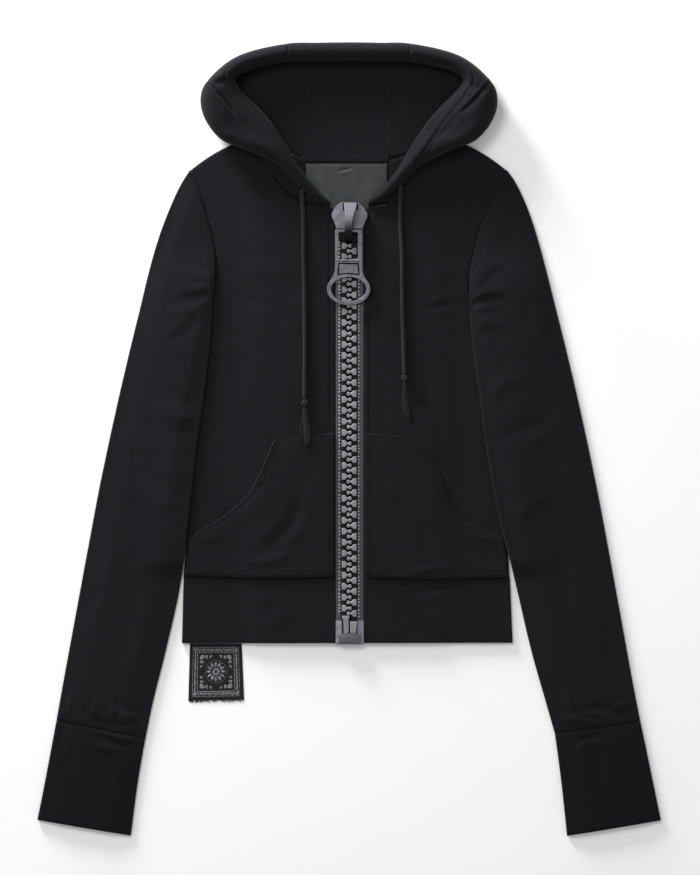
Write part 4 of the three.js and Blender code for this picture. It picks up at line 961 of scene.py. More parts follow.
def smooth_path(points, spacing):
    """A cubic curve through points in space, resampled at about even spacing, and its length."""
    points = np.asarray(points, float)
    knots = arc_lengths(points)
    dense = curve_through(knots, points, np.linspace(0.0, knots[-1], 60 * len(points)), monotone=False)
    length = arc_lengths(dense)
    count = max(4, int(round(length[-1] / spacing)) + 1)
    at = np.linspace(0.0, length[-1], count)
    return np.stack([np.interp(at, length, dense[:, axis]) for axis in range(3)], -1), length[-1]


def tube_uv(length, steps, radius, sides):
    """Metres along and round a tube for each corner of its side quads, and zeros for its end caps."""
    i, j, _ = grid_faces(steps, sides)
    across = np.arange(sides + 1) * (2.0 * np.pi * radius / sides)
    uv = grid_uv(i, j, across, np.arange(steps) * (length / (steps - 1)))
    return np.concatenate([uv, np.zeros((2 * sides, 4, 2))]) * MM


# The knot as its own winding, in shares of its radius across, along the cord and up
KNOT_WINDING = [
    (0.0, 1.45, -0.3), (0.2, 0.9, 0.1), (0.62, 0.35, 0.35), (0.35, -0.25, 0.55), (-0.35, -0.42, 0.5),
    (-0.68, 0.0, 0.0), (-0.3, 0.55, -0.35), (0.4, 0.5, -0.3), (0.66, -0.2, -0.1), (0.1, -0.62, 0.3),
    (-0.5, -0.1, 0.56), (-0.2, 0.5, 0.5), (0.35, 0.25, 0.1), (0.2, -0.6, -0.2), (0.0, -1.45, -0.25),
]
KNOT_RADIUS = 3.5
KNOT_STRETCH = 1.35 / 1.2
TAIL_SIDES = 10

# Strands of each frayed tail: sideways place at its start and its end, how much of the way down it goes,
# how far it lies above the others, and its radius
TAIL_STRANDS = {
    "left": listed(
        "start end reach lift radius",
        (-1.4, -2.6, 0.93, 0.1, 0.8), (-0.9, -1.5, 1.0, 0.6, 0.85), (-0.4, -0.6, 0.96, 0.9, 0.85),
        (0.1, 0.5, 1.0, 0.5, 0.85), (0.6, 1.6, 0.97, 0.8, 0.8), (1.1, 2.5, 0.9, 0.2, 0.8),
        (1.4, 3.5, 0.78, 0.0, 0.6), (-1.2, -6.5, 0.88, 0.0, 0.4), (-1.0, -9.0, 0.8, 0.0, 0.35),
    ),
    "right": listed(
        "start end reach lift radius",
        (-1.2, -2.6, 0.86, 0.1, 0.75), (-0.7, -1.3, 0.95, 0.6, 0.85), (-0.2, 0.0, 1.0, 0.9, 0.85),
        (0.3, 1.1, 1.0, 0.5, 0.85), (0.8, 2.2, 0.92, 0.3, 0.8), (1.2, 3.2, 0.74, 0.0, 0.55),
        (-1.2, -4.4, 0.62, 0.0, 0.4),
    ),
}


BRAID_LAY = 5.2
BRAID_TURNS, BRAID_STRANDS = 3.0, 6.0


def braided_tube(name, path, length, radius, sides, relief=0.16):
    """A tube whose radius follows a braid: two families of helices, each the higher in turn."""
    along = np.linspace(0.0, length, len(path))[:, None]
    angle = np.linspace(0.0, 2.0 * np.pi, sides, endpoint=False)[None, :]
    lay = 2.0 * np.pi * along / (radius * BRAID_LAY)
    families = (np.cos(BRAID_STRANDS * angle + turns * lay) for turns in (BRAID_TURNS, -BRAID_TURNS))
    braid = np.maximum(*families)
    points, faces = tube_arrays(path, np.full(len(path), radius), sides, relief * (braid - 0.55))
    return mesh_object(name, points, faces, tube_uv(length, len(path), radius, sides))


def frayed_tail(side):
    """Strands that leave the knot together and part on their way down, each thinner towards its end."""
    tail_path, _ = smooth_path(CORDS[side]["tail"], 0.8)
    steps = np.linspace(0.0, 1.0, len(tail_path))
    angle = np.linspace(0, 4 * np.pi, TAIL_SIDES)[None, :]
    twist = 0.10 * np.sin(np.linspace(0, 60, len(steps))[:, None] + angle)
    strands = []
    for strand in TAIL_STRANDS[side]:
        t = steps * strand["reach"]
        path = np.stack([np.interp(t, steps, tail_path[:, axis]) for axis in range(3)], -1)
        belly = 1.0 + 0.6 * np.sin(np.pi * t)
        path[:, 0] += (strand["start"] * (1 - t) + strand["end"] * t) * belly
        path[:, 2] += strand["lift"] - 0.9 * smoothstep(t * 1.6)
        radius = strand["radius"]
        strands.append(tube_arrays(path, radius * (1.0 - 0.45 * t), TAIL_SIDES, twist * radius))
    return mesh_object(f"tail_{side}_strands", *merged(strands))


def drawcord(side, material):
    """A drawcord from the casing down the front, its overhand knot, and the frayed strands under it."""
    path, length = smooth_path(CORDS[side]["route"], 0.42)
    cord = braided_tube(f"cord_{side}_braid", path, length, CORD_DIAMETER / 2.0, 28)
    dress(cord, material, "cord", f"cord_{side}")
    size = np.array([KNOT_RADIUS, KNOT_RADIUS * KNOT_STRETCH, KNOT_RADIUS])
    winding = np.array(KNOT_WINDING) * size * np.array([-SIDES[side], 1.0, 1.0]) + CORDS[side]["knot"]
    knot_path, knot_length = smooth_path(winding, 0.4)
    knot = braided_tube(f"knot_{side}_braid", knot_path, knot_length, 1.5, 24, relief=0.12)
    dress(knot, material, "cord", f"knot_{side}")
    tail = dress(frayed_tail(side), material, "cord", f"tail_{side}")


# Zip teeth: distance between teeth on one side, height of a body, and the Y of one body on each side. The
# upper half of a tooth's outline runs from the tape's side to the tip of its head.
TOOTH_PITCH = 13.7
TOOTH_BODY = 8.4
TOOTH_PHASE = {"left": 7.7, "right": 1.2}
TOOTH_CENTRE = 0.25
TOOTH_HALF_OUTLINE = listed(
    "out half",
    (9.3, 3.5), (8.7, 4.1), (5.3, 4.1), (4.1, 3.1), (2.5, 1.4), (1.7, 1.2), (0.8, 1.6), (-0.3, 2.4),
    (-1.6, 2.6), (-2.6, 1.9), (-3, 0.8),
)
CHAIN_Y = {"left": (-220.4, 262.0), "right": (-227.4, 262.0)}
TEETH_END = 247.0
TAPE_Y = (-256.5, 285.0)
TAPE_INNER_EDGE = 2.6
STOP_OUTLINE = {
    "left": [(-8.9, -222.2), (-8.5, -220.9), (0.2, -220.9), (0.5, -222.2), (-0.2, -226.4), (-0.4, -242.8),
             (-6.7, -242.8), (-7.0, -226.4)],
    "right": [(1.2, -229.0), (1.9, -227.9), (9.4, -227.9), (10.2, -229.0), (9.0, -242.0), (8.2, -242.8),
              (2.2, -242.8), (1.6, -242.0)],
}
FILM_X = {"left": (-16.6, -9.0), "right": (10.6, 18.2)}
FILM_Y = (-256.0, -227.0)
BOX_X, BOX_Y = (-12.9, 14.4), (-256.5, -243.2)
BOX_PANEL_X, BOX_PANEL_Y = (-9.6, 11.2), (-253.6, -246.2)
BOX_TOP = 10.4

# Layers of a moulded part over its foot, with rounded upper edges: how far in from its outline, and how
# far under its top
FOOT_INSET = 0.25
ROUND_LAYERS = [(0.0, 0.9), (0.12, 0.45), (0.35, 0.2), (0.7, 0.06), (1.15, 0.0)]


def inset_loop(loop, distance):
    """A closed loop of plan points moved inward along its mean normals; the loop runs anticlockwise."""
    ahead, behind = unit(np.roll(loop, -1, axis=0) - loop), unit(loop - np.roll(loop, 1, axis=0))
    inward = np.stack([-(ahead + behind)[:, 1], (ahead + behind)[:, 0]], -1)
    cosine = np.maximum(np.linalg.norm(inward, axis=1, keepdims=True) / 2.0, 0.5)
    return loop + unit(inward) * distance / cosine


def anticlockwise(loop):
    turned = np.roll(loop, -1, axis=0)
    area = (loop[:, 0] * turned[:, 1] - turned[:, 0] * loop[:, 1]).sum()
    return loop if area > 0 else loop[::-1].copy()


def moulded_arrays(loop, low, top, edge=1.0):
    """A solid stacked from insets of one outline, rounded towards its top, closed with a fan at each end.
    edge scales the insets, and the depth of layers less than one millimetre under the top."""
    loop = anticlockwise(np.asarray(loop, float))
    rings = []
    for inset, under in [(FOOT_INSET, top - low), (0.0, top - low - FOOT_INSET), *ROUND_LAYERS]:
        depth = under * min(edge, 1.0) if under < 1.0 else under
        level = np.full((len(loop), 1), top - depth)
        rings.append(np.concatenate([inset_loop(loop, inset * edge), level], 1))
    middle = loop.mean(axis=0)
    points = np.concatenate(rings + [[[*middle, low]], [[*middle, top]]])
    return points, closed_faces(len(rings), len(loop))


def rounded_box_loop(x, y, radius, steps=4):
    """A rectangle's outline with quarter circles at its corners."""
    turn = np.linspace(0.0, np.pi / 2.0, steps)
    (left, right), (low, high) = (x[0] + radius, x[1] - radius), (y[0] + radius, y[1] - radius)
    corners = []
    for k, (cx, cy) in enumerate([(right, high), (left, high), (left, low), (right, low)]):
        angle = turn + k * np.pi / 2.0
        corners.append(np.stack([cx + radius * np.cos(angle), cy + radius * np.sin(angle)], -1))
    return np.concatenate(corners)


def moulded_box(x, y, radius, low, top, edge=1.0):
    """A moulded solid over a rectangle with round corners."""
    return moulded_arrays(rounded_box_loop(x, y, radius), low, top, edge)


def tooth_loop(side):
    """Plan of one tooth about its own middle: a broad body, a thin neck, and a round head past the middle."""
    out, half = column(TOOTH_HALF_OUTLINE, "out"), column(TOOTH_HALF_OUTLINE, "half")
    x = TOOTH_CENTRE + SIDES[side] * out
    return np.stack([np.concatenate([x, x[::-1]]), np.concatenate([half, -half[::-1]])], -1)


def zip_teeth(side, material):
    """One row of moulded teeth: the tooth's solid repeated along the tape at even pitch."""
    points, faces = moulded_arrays(tooth_loop(side), CHAIN_LOW, CHAIN_TOP, edge=0.75)
    low, high = CHAIN_Y[side]
    first = math.ceil((low + TOOTH_BODY / 2.0 - TOOTH_PHASE[side]) / TOOTH_PITCH)
    last = math.floor((min(high, TEETH_END) - TOOTH_BODY / 2.0 - TOOTH_PHASE[side]) / TOOTH_PITCH)
    places = TOOTH_PHASE[side] + TOOTH_PITCH * np.arange(first, last + 1)
    all_points = points[None] + np.stack([0.0 * places, places, 0.0 * places], -1)[:, None]
    all_faces = faces[None] + (len(points) * np.arange(len(places)))[:, None, None]
    row = mesh_object(f"zip_teeth_{side}", all_points.reshape(-1, 3), all_faces.reshape(-1, 4))
    dress(row, material, "teeth", f"zip_chain_{side}")


def zip_tape(side, material):
    """One tape, with a pressed line beside each edge; its ribs are in its material."""
    sign = SIDES[side]
    outer, inner = TAPE_EDGE[side] - sign * 0.4, sign * TAPE_INNER_EDGE
    t, s = edge_steps(16)[None, :], np.linspace(0.0, 1.0, 400)[:, None]
    x = outer * (1 - t) + inner * t + 0.0 * s
    y = TAPE_Y[0] * (1 - s) + TAPE_Y[1] * s + 0.0 * t
    top = TAPE_TOP - 0.12 + groove(np.abs(x - outer), 0.4, 0.5) + groove(np.abs(x - inner), 0.3, 0.4)
    tape = dress(slab(f"zip_tape_{side}_woven", x, y, top, TAPE_LOW), material, "tape", f"zip_tape_{side}")


def zip_ends(material, box_material, film_material):
    """The pin and the stop, the box that holds the pin, and the film that stiffens the tapes beside them."""
    for side, outline in STOP_OUTLINE.items():
        stop = moulded_arrays(outline, CHAIN_LOW, CHAIN_TOP, edge=0.7)
        dress(mesh_object(f"zip_stop_{side}_moulded", *stop), material, "teeth", f"zip_stop_{side}")
    box = [moulded_box(BOX_X, BOX_Y, 1.8, CHAIN_LOW, BOX_TOP, 0.8),
           moulded_box(BOX_PANEL_X, BOX_PANEL_Y, 1.2, BOX_TOP - 0.3, BOX_TOP + 0.35, 0.4)]
    dress(mesh_object("zip_box_moulded", *merged(box)), box_material, "teeth", "zip_box")
    for side, film_x in FILM_X.items():
        film = moulded_box(film_x, FILM_Y, 0.6, TAPE_TOP - 0.3, TAPE_TOP + 0.25, 0.3)
        dress(mesh_object(f"zip_film_{side}", *film), film_material, "tape")


# Slider crown seen from above: corners of its facets with their heights over the upper plate's foot
CROWN_CORNERS = {
    "top_left": (-7.6, 295.0, 2.2), "top_right": (11.6, 294.4, 2.2), "brow_left": (-9.4, 295.0, 2.1),
    "left_a": (-16.6, 289.2, 2.0), "left_b": (-21.4, 281.2, 1.9), "left_c": (-21.6, 277.4, 1.9),
    "left_d": (-18.6, 270.6, 1.8), "low_left": (-15.4, 261.8, 1.7),
    "right_a": (17.6, 289.2, 2.0), "right_b": (22.4, 281.2, 1.9), "right_c": (23.0, 277.0, 1.9),
    "right_d": (20.0, 270.4, 1.8), "low_right": (16.9, 261.8, 1.7),
    "slot_top_left": (-7.4, 294.6, 2.6), "slot_top_right": (10.6, 294.2, 2.6),
    "ridge_left": (-7.4, 277.4, 2.9), "ridge_right": (8.2, 277.4, 2.9),
    "ridge_low_left": (-6.6, 261.8, 2.3), "ridge_low_right": (7.2, 261.8, 2.3),
}
CROWN_FACETS = [
    ("slot_top_left", "top_left", "brow_left", "left_a", "ridge_left"),
    ("ridge_left", "left_a", "left_b", "left_c"), ("ridge_left", "left_c", "left_d"),
    ("ridge_left", "left_d", "low_left", "ridge_low_left"),
    ("slot_top_right", "ridge_right", "right_a", "top_right"),
    ("ridge_right", "right_c", "right_b", "right_a"), ("ridge_right", "right_d", "right_c"),
    ("ridge_right", "ridge_low_right", "low_right", "right_d"),
    ("slot_top_left", "ridge_left", "ridge_right", "slot_top_right"),
    ("ridge_left", "ridge_low_left", "ridge_low_right", "ridge_right"),
]
CROWN_OUTLINE = ["top_right", "slot_top_right", "slot_top_left", "top_left", "brow_left", "left_a", "left_b",
                 "left_c", "left_d", "low_left", "ridge_low_left", "ridge_low_right", "low_right", "right_d",
                 "right_c", "right_b", "right_a"]
# The bridge seen from the side, as Y and height over the upper plate, and its half width at each point
BRIDGE_PROFILE = listed(
    "y z left right",
    (294.4, -0.3, 6.4, 10.2), (294.0, 3.0, 6.4, 10.2), (287.4, 5.7, 5.9, 8.9), (281.8, 7.4, 5.0, 6.6),
    (276.0, 8.5, 4.1, 5.2), (268.0, 8.8, 4.6, 4.0), (259.0, 8.2, 5.8, 4.1), (251.4, 6.0, 6.2, 4.0),
    (248.6, 3.0, 6.2, 3.9), (248.6, -0.3, 6.2, 3.9), (254.0, -0.3, 5.6, 3.9), (254.0, 3.0, 5.6, 3.9),
    (256.6, 5.5, 5.0, 4.0), (261.0, 6.0, 4.8, 4.0), (265.4, 5.3, 4.6, 4.0), (268.6, 2.8, 4.6, 4.0),
    (269.8, -0.3, 4.6, 4.0),
)


# Parts of the slider painted near black as shadow: slots, tail, side walls, the post between the plates
SHADOW_PAINTED_BOXES = listed(
    "x y radius low top edge",
    ((-8.0, -5.9), (284.4, 294.2), 0.7, PLATE_LOW + 2.0, PLATE_TOP + 0.95, 0.3),
    ((9.6, 11.4), (284.4, 293.8), 0.7, PLATE_LOW + 2.0, PLATE_TOP + 0.95, 0.3),
    ((-13.6, 13.9), (246.4, 263.5), 1.4, PLATE_LOW, PLATE_LOW + 1.1, 0.5),
    ((-15.4, -11.2), (251.0, 263.0), 1.2, TAPE_TOP + 0.8, PLATE_LOW + 0.4, 1.0),
    ((11.2, 15.4), (251.0, 263.0), 1.2, TAPE_TOP + 0.8, PLATE_LOW + 0.4, 1.0),
    ((-2.2, 2.2), (278.0, 290.0), 1.0, 4.3, PLATE_LOW + 0.4, 1.0),
)
LOWER_PLATE_SHARE, LOWER_PLATE_LOW, LOWER_PLATE_TOP = 0.72, 3.5, 4.8


def faceted(name, points, faces, width):
    """A solid from corners and many-sided faces in millimetres, its edges softened by a bevel."""
    mesh = bpy.data.meshes.new(name)
    mesh.from_pydata([tuple(value * MM for value in point) for point in points], [], faces)
    mesh.polygons.foreach_set("use_smooth", np.full(len(mesh.polygons), True))
    mesh.update()
    piece = placed(name, mesh)
    bevel = piece.modifiers.new("softened edges", "BEVEL")
    bevel.width = width * MM
    bevel.segments = 3
    bevel.limit_method = "ANGLE"
    bevel.angle_limit = math.radians(12.0)
    bevel.harden_normals = True
    return piece


def slider(material, shadow_painted_material, bridge_shade_painted_material):
    """The slider: a faceted crown, the slots beside its arched bridge, its tail and lower plate; slots, tail
    and plate are painted near black as shadow, and the bridge's lower end is painted in shade.
    """
    place = {name: index for index, name in enumerate(CROWN_CORNERS)}
    size = len(place)
    points = [(x, y, PLATE_LOW + 0.2 + height) for x, y, height in CROWN_CORNERS.values()]
    points += [(x, y, PLATE_LOW) for x, y, _ in CROWN_CORNERS.values()]
    faces = [[place[name] for name in facet] for facet in CROWN_FACETS]
    for a, b in zip(CROWN_OUTLINE, CROWN_OUTLINE[1:] + CROWN_OUTLINE[:1]):
        faces.append([place[b], place[a], place[a] + size, place[b] + size])
    faces.append([place[name] + size for name in reversed(CROWN_OUTLINE)])
    crown = faceted("zip_slider_crown", points, faces, 0.5)
    dress(crown, material, "slider_metal", "zip_slider")
    left = [(-row["left"], row["y"], PLATE_TOP + row["z"]) for row in BRIDGE_PROFILE]
    right = [(row["right"], row["y"], PLATE_TOP + row["z"]) for row in BRIDGE_PROFILE]
    count = len(left)
    faces = [list(range(count)), list(range(2 * count - 1, count - 1, -1))]
    faces += [[(k + 1) % count, k, count + k, count + (k + 1) % count] for k in range(count)]
    dress(faceted("zip_slider_bridge", left + right, faces, 0.7), bridge_shade_painted_material, "slider_metal")
    lower = [(CROWN_CORNERS[name][0] * LOWER_PLATE_SHARE, CROWN_CORNERS[name][1]) for name in CROWN_OUTLINE]
    # the slots, tail, side walls, post and lower plate are coloured near black as painted shadow
    dark = [moulded_box(**box) for box in SHADOW_PAINTED_BOXES]
    dark.append(moulded_arrays(lower, LOWER_PLATE_LOW, LOWER_PLATE_TOP, edge=0.5))
    dress(mesh_object("zip_slider_walls", *merged(dark)), shadow_painted_material, "slider_metal")


# Pull tab, in its own plane: outline, openings and the bare inlay, as in the solid
PULL_THICKNESS = 3.0
PULL_HALF_WIDTH = 16.9
PULL_SHIFT = (-0.5, -1.2)
PULL_TOP_Y = 261.6
PULL_NECK_Y = 216.0
PULL_WINDOW = {"left": -12.4, "right": 11.6, "bottom": 224.8, "top": 258.5}
PULL_RING = {"y": 187.5, "outer": (27.1, 19.8), "inner": (21.9, 15.2)}
PULL_TILT = math.asin(3.9 / 92.4)
INLAY = {"top": 219.4, "bottom": 205.2, "top_half": 11.6, "bottom_half": 13.2, "bow": 1.5}
INLAY_DROP, INLAY_GROOVE = 0.45, 1.7
CORNER_RADIUS = 1.6
CROSS_LINE = {"x": (-14.2, 14.2), "y": (221.3, 221.9)}
WEB = {"x": (-14.6, 14.6), "y": (203.4, 222.6)}
WEB_DEPTH = 0.95


def filled_curve(name, loops, half_depth, bevel):
    """Mesh of a flat plate whose outline and holes are the given loops, with rounded rims."""
    curve = bpy.data.curves.new(name, "CURVE")
    curve.dimensions = "2D"
    curve.fill_mode = "BOTH"
    curve.extrude = half_depth - bevel
    curve.bevel_depth = bevel
    curve.bevel_resolution = 2
    curve.offset = -bevel
    for loop in loops:
        spline = curve.splines.new("POLY")
        spline.points.add(len(loop) - 1)
        flat = np.concatenate([loop, np.zeros((len(loop), 1)), np.ones((len(loop), 1))], axis=1)
        spline.points.foreach_set("co", flat.ravel())
        spline.use_cyclic_u = True
    holder = placed(name, curve)
    mesh = bpy.data.meshes.new_from_object(holder)
    bpy.data.objects.remove(holder)
    bpy.data.curves.remove(curve)
    return mesh


def pull_outline():
    """Outer loop of the pull tab: a straight bar with rounded top corners that swells into an oval ring."""
    ring_y, (outer_x, outer_y) = PULL_RING["y"], PULL_RING["outer"]
    shoulder = math.radians(25.0)
    joint = np.array([outer_x * math.cos(shoulder), ring_y + outer_y * math.sin(shoulder)])
    turn = np.linspace(0.0, np.pi / 2.0, 7)
    top = np.stack([PULL_HALF_WIDTH - CORNER_RADIUS + CORNER_RADIUS * np.cos(turn),
                    PULL_TOP_Y - CORNER_RADIUS + CORNER_RADIUS * np.sin(turn)], -1)
    t = np.linspace(0.0, 1.0, 14)[1:-1, None]
    neck, bend = np.array([PULL_HALF_WIDTH, PULL_NECK_Y]), np.array([PULL_HALF_WIDTH, PULL_NECK_Y - 11.0])
    flare = joint * (1 - t) ** 2 + bend * 2 * t * (1 - t) + neck * t**2
    angle = np.linspace(-np.pi / 2.0, shoulder, 48)
    oval = np.stack([outer_x * np.cos(angle), ring_y + outer_y * np.sin(angle)], -1)
    right = np.concatenate([oval, flare, [neck], top])
    left = right[1:][::-1] * np.array([-1.0, 1.0])
    return np.concatenate([right, left])


def pull_tab(material, shadow_painted_material):
    """The pull tab with its window and ring, and a plain inlay set in a groove between them."""
    ring_y, (inner_x, inner_y) = PULL_RING["y"], PULL_RING["inner"]
    angle = np.linspace(0.0, 2.0 * np.pi, 97)[:-1]
    hole = np.stack([inner_x * np.cos(angle), ring_y + inner_y * np.sin(angle)], -1)
    window = rounded_box_loop((PULL_WINDOW["left"], PULL_WINDOW["right"]),
                              (PULL_WINDOW["bottom"], PULL_WINDOW["top"]), 2.2)
    across = np.linspace(-1.0, 1.0, 17)
    bottom = np.stack([INLAY["bottom_half"] * across, INLAY["bottom"] + INLAY["bow"] * (1.0 - across**2)], -1)
    left, right = ([(sign * INLAY["top_half"], INLAY["top"])] for sign in (-1.0, 1.0))
    inlay = np.concatenate([left, bottom, right])
    cross_line = rounded_box_loop(CROSS_LINE["x"], CROSS_LINE["y"], 0.2)
    half = PULL_THICKNESS / 2.0
    plate = [pull_outline(), hole, window, inset_loop(inlay, -INLAY_GROOVE / 2.0), cross_line]
    middle, web = inset_loop(inlay, INLAY_GROOVE / 2.0), rounded_box_loop(WEB["x"], WEB["y"], 0.8)
    # the web in the pull's groove is coloured near black as painted shadow
    parts = listed(
        "name mesh sunk material nodes",
        ("pull_tab", filled_curve("pull_plate", plate, half, 0.45), 0.0, material, ["zip_pull"]),
        ("pull_tab_inlay", filled_curve("pull_inlay", [middle], half - INLAY_DROP, 0.3), 0.0, material, []),
        ("pull_tab_web", filled_curve("pull_web", [web], 0.25, 0.05), WEB_DEPTH, shadow_painted_material, []),
    )
    cosine, sine = math.cos(PULL_TILT), math.sin(PULL_TILT)
    _, axis_y, axis_z = PULL_AXIS
    for part in parts:
        mesh = part["mesh"]
        flat = np.empty(len(mesh.vertices) * 3)
        mesh.vertices.foreach_get("co", flat)
        flat = flat.reshape(-1, 3)
        y, z = flat[:, 1] - axis_y, flat[:, 2] - part["sunk"]
        turned = np.stack([flat[:, 0] + PULL_SHIFT[0], axis_y + PULL_SHIFT[1] + y * cosine - z * sine,
                           axis_z + y * sine + z * cosine], -1)
        mesh.vertices.foreach_set("co", (turned * MM).ravel())
        mesh.materials.clear()
        mesh.update()
        dress(placed(part["name"], mesh), part["material"], "slider_metal", *part["nodes"], body="pull")


# Stitching: every line with its thread, by distance from an edge of the cloth it is sewn into
STITCH_GAP = 0.8
# thick dark stitches down the underarm and at the neck ends stand in as painted shade of the crevices there
UNDERARM_END, SHADE_LINE_WEIGHT = -125.0, 3.4
NECK_SEAMS = {"left": [(-56.0, 294.4), (-43.0, 292.4), (-30.0, 290.2)],
              "right": [(24.0, 291.4), (37.0, 293.2), (50.0, 295.2)]}
DOT_X = {"left": -11.9, "right": 12.25}
DOT_PITCH = 4.1


def balls(centres, directions, length, radius, lift=0.0, rings=4, sides=6):
    """Arrays of rounded stitches: one stretched ball at each centre, lying along its direction."""
    side = unit(np.cross(directions, [0.0, 0.0, 1.0]) + 1e-9)
    tilt = np.linspace(-np.pi / 2.0, np.pi / 2.0, rings + 2)[:, None]
    turn = np.linspace(0.0, 2.0 * np.pi, sides, endpoint=False)[None, :]
    ball = [np.sin(tilt) * length / 2.0 + 0.0 * turn, np.cos(tilt) * np.cos(turn) * radius,
            np.cos(tilt) * np.sin(turn) * radius + lift]
    axes = (directions, side, np.cross(side, directions))
    offsets = sum(part[None, ..., None] * axis[:, None, None] for part, axis in zip(ball, axes))
    points = centres[:, None, None] + offsets
    face = grid_faces(rings + 2, sides)[2]
    faces = face[None] + ((rings + 2) * sides * np.arange(len(centres)))[:, None, None]
    return points.reshape(-1, 3), faces.reshape(-1, 4)


def sewn_line(path, height, weight=1.0):
    """Stitches at even pitch along a plan path, laid on a height that is a function of x and y."""
    length, radius = looks().stitch_length / MM, looks().stitch_radius / MM
    dense, _ = smooth_path(np.concatenate([path, np.zeros((len(path), 1))], 1), length + STITCH_GAP)
    dense[:, 2] = height(dense[:, 0], dense[:, 1])
    middle = (dense[1:] + dense[:-1]) / 2.0
    return balls(middle, unit(np.diff(dense, axis=0)), length, radius * weight)


def topstitching(material):
    """The sewn lines of the body: beside the zip, along the tops and mouths of the pockets, and, thicker,
    down the underarm seams and at the front ends of the neck seam. The thick near-black lines there are
    painted shade of the crevices at those seams."""
    lines = []
    for side, sign in SIDES.items():
        fronts = column(FRONT_ROWS[side], "front")
        edge = TAPE_EDGE[side] + sign * STITCH_FROM_ZIP
        keep = fronts[:, 1] < 286.0
        placket = np.stack([np.full(keep.sum(), edge), fronts[keep, 1]], -1)
        lines.append(sewn_line(placket[placket[:, 1] > 6.0], lambda x, y: front_top(x, y) - 0.75))
        lines.append(sewn_line(placket[placket[:, 1] < -8.0], pocket_top))
        mouth = column(POCKET_ROWS[side], "mouth")[2:]
        for inset in MOUTH_STITCHES:
            path = mouth - np.array([sign * inset * 0.8, inset * 0.6])
            lines.append(sewn_line(path, lambda x, y: pocket_top(x, y) + 0.1))
        top = column(POCKET_ROWS[side], "mouth")[-1], column(POCKET_ROWS[side], "front")[-1]
        path = np.linspace(top[0], top[1], 6) + np.array([0.0, -0.4])
        lines.append(sewn_line(path[:-1], lambda x, y: pocket_top(x, y) - 0.2))
        inner = column(SLEEVE_ROWS[side], "inner")
        path = inner[(inner[:, 1] < 178.0) & (inner[:, 1] > UNDERARM_END)] + np.array([sign * 0.7, 0.0])
        lines.append(sewn_line(path, lambda x, y: front_top(x, y) + 1.2, SHADE_LINE_WEIGHT))
        lines.append(sewn_line(np.array(NECK_SEAMS[side]), lambda x, y: front_top(x, y) + 0.2, SHADE_LINE_WEIGHT))
    dress(mesh_object("body_topstitching", *merged(lines)), material, "fleece")


def tape_dots(side, material):
    """The light sewing on each tape: three raised dots to a tooth, on one straight line."""
    phase = TOOTH_PHASE[side]
    low, high = CHAIN_Y[side]
    count = int((high - low) / TOOTH_PITCH) + 2
    first = math.ceil((low - phase) / TOOTH_PITCH)
    y = phase + TOOTH_PITCH * (first + np.arange(count))[:, None] + DOT_PITCH * np.array([-1.0, 0.0, 1.0])
    y = y[(y > low - 14.0) & (y < high - 2.0)]
    path = np.stack([np.full(y.size, DOT_X[side]), y, np.full(y.size, TAPE_TOP)], -1)
    dots = balls(path, np.tile([0.0, 1.0, 0.0], (len(path), 1)), 2.3, 1.05, lift=-0.3)
    dress(mesh_object(f"zip_tape_{side}_sewing", *dots), material, "tape")


def to_linear(text):
    """Linear colour with alpha from an sRGB hex value."""
    value = int(text.lstrip("#"), 16)
    channels = [((value >> shift) & 255) / 255.0 for shift in (16, 8, 0)]
    return (*[c / 12.92 if c <= 0.04045 else ((c + 0.055) / 1.055) ** 2.4 for c in channels], 1.0)


def shade(colour, factor):
    """A colour made darker or lighter by a factor."""
    return (*[min(1.0, channel * factor) for channel in tuple(colour)[:3]], 1.0)


def feed(tree, node, inputs):
    """Sets inputs of a node to constants, or links them to sockets."""
    for name, value in inputs.items():
        if isinstance(value, bpy.types.NodeSocket):
            tree.links.new(value, node.inputs[name])
        else:
            node.inputs[name].default_value = value


def add_node(tree, kind, inputs, output=0, **settings):
    """Adds a node with its settings and inputs, and gives back one of its outputs."""
    node = tree.nodes.new("ShaderNode" + kind)
    for name, value in settings.items():
        setattr(node, name, value)
    feed(tree, node, inputs)
    return node.outputs[output]


def bands(period):
    """Scale of a wave texture whose bands repeat every period metres."""
    return 2.0 * math.pi / (20.0 * period)


def mottled(tree, dark, light, noise, window=(0.3, 0.7), space="Object"):
    """Two tones mixed by a noise, of which the window is stretched to the whole range. Gives back the
    colour, the noise and the coordinates it is read at."""
    place = add_node(tree, "TexCoord", {}, space)
    uneven = add_node(tree, "TexNoise", {"Vector": place, **noise})
    level = add_node(tree, "MapRange", {"Value": uneven, "From Min": window[0], "From Max": window[1]})
    return add_node(tree, "Mix", {0: level, 6: dark, 7: light}, 2, data_type="RGBA"), uneven, place


def finish(tree, shader, colour, height, bump, inputs):
    """Gives the shader its colour, one bump, as distance in metres and strength, and its other inputs."""
    relief = add_node(tree, "Bump", {"Height": height, "Distance": bump[0], "Strength": bump[1]})
    feed(tree, shader, {"Base Color": colour, "Normal": relief, **inputs})


def moulded(tree, shader, colour, bump, inputs, low=0.86, high=1.16):
    """A moulded or cast surface: a slow cloud between a darker and a lighter shade, and a fine grain, which
    is given back."""
    cloud, _, place = mottled(tree, shade(colour, low), shade(colour, high), {"Scale": 160.0, "Detail": 3.0})
    grain = add_node(tree, "TexNoise", {"Vector": place, "Scale": 1400.0, "Detail": 3.0})
    finish(tree, shader, cloud, grain, bump, inputs)
    return grain


def roughness(tree, pattern, smooth, rough, window=(0.3, 0.7)):
    """Roughness that follows a pattern between a smooth and a rough end."""
    return add_node(tree, "MapRange", {"Value": pattern, "From Min": window[0], "From Max": window[1],
                                       "To Min": smooth, "To Max": rough})


def looks():
    """The colours and sizes that a user can change."""
    return bpy.context.scene.hoodie_looks


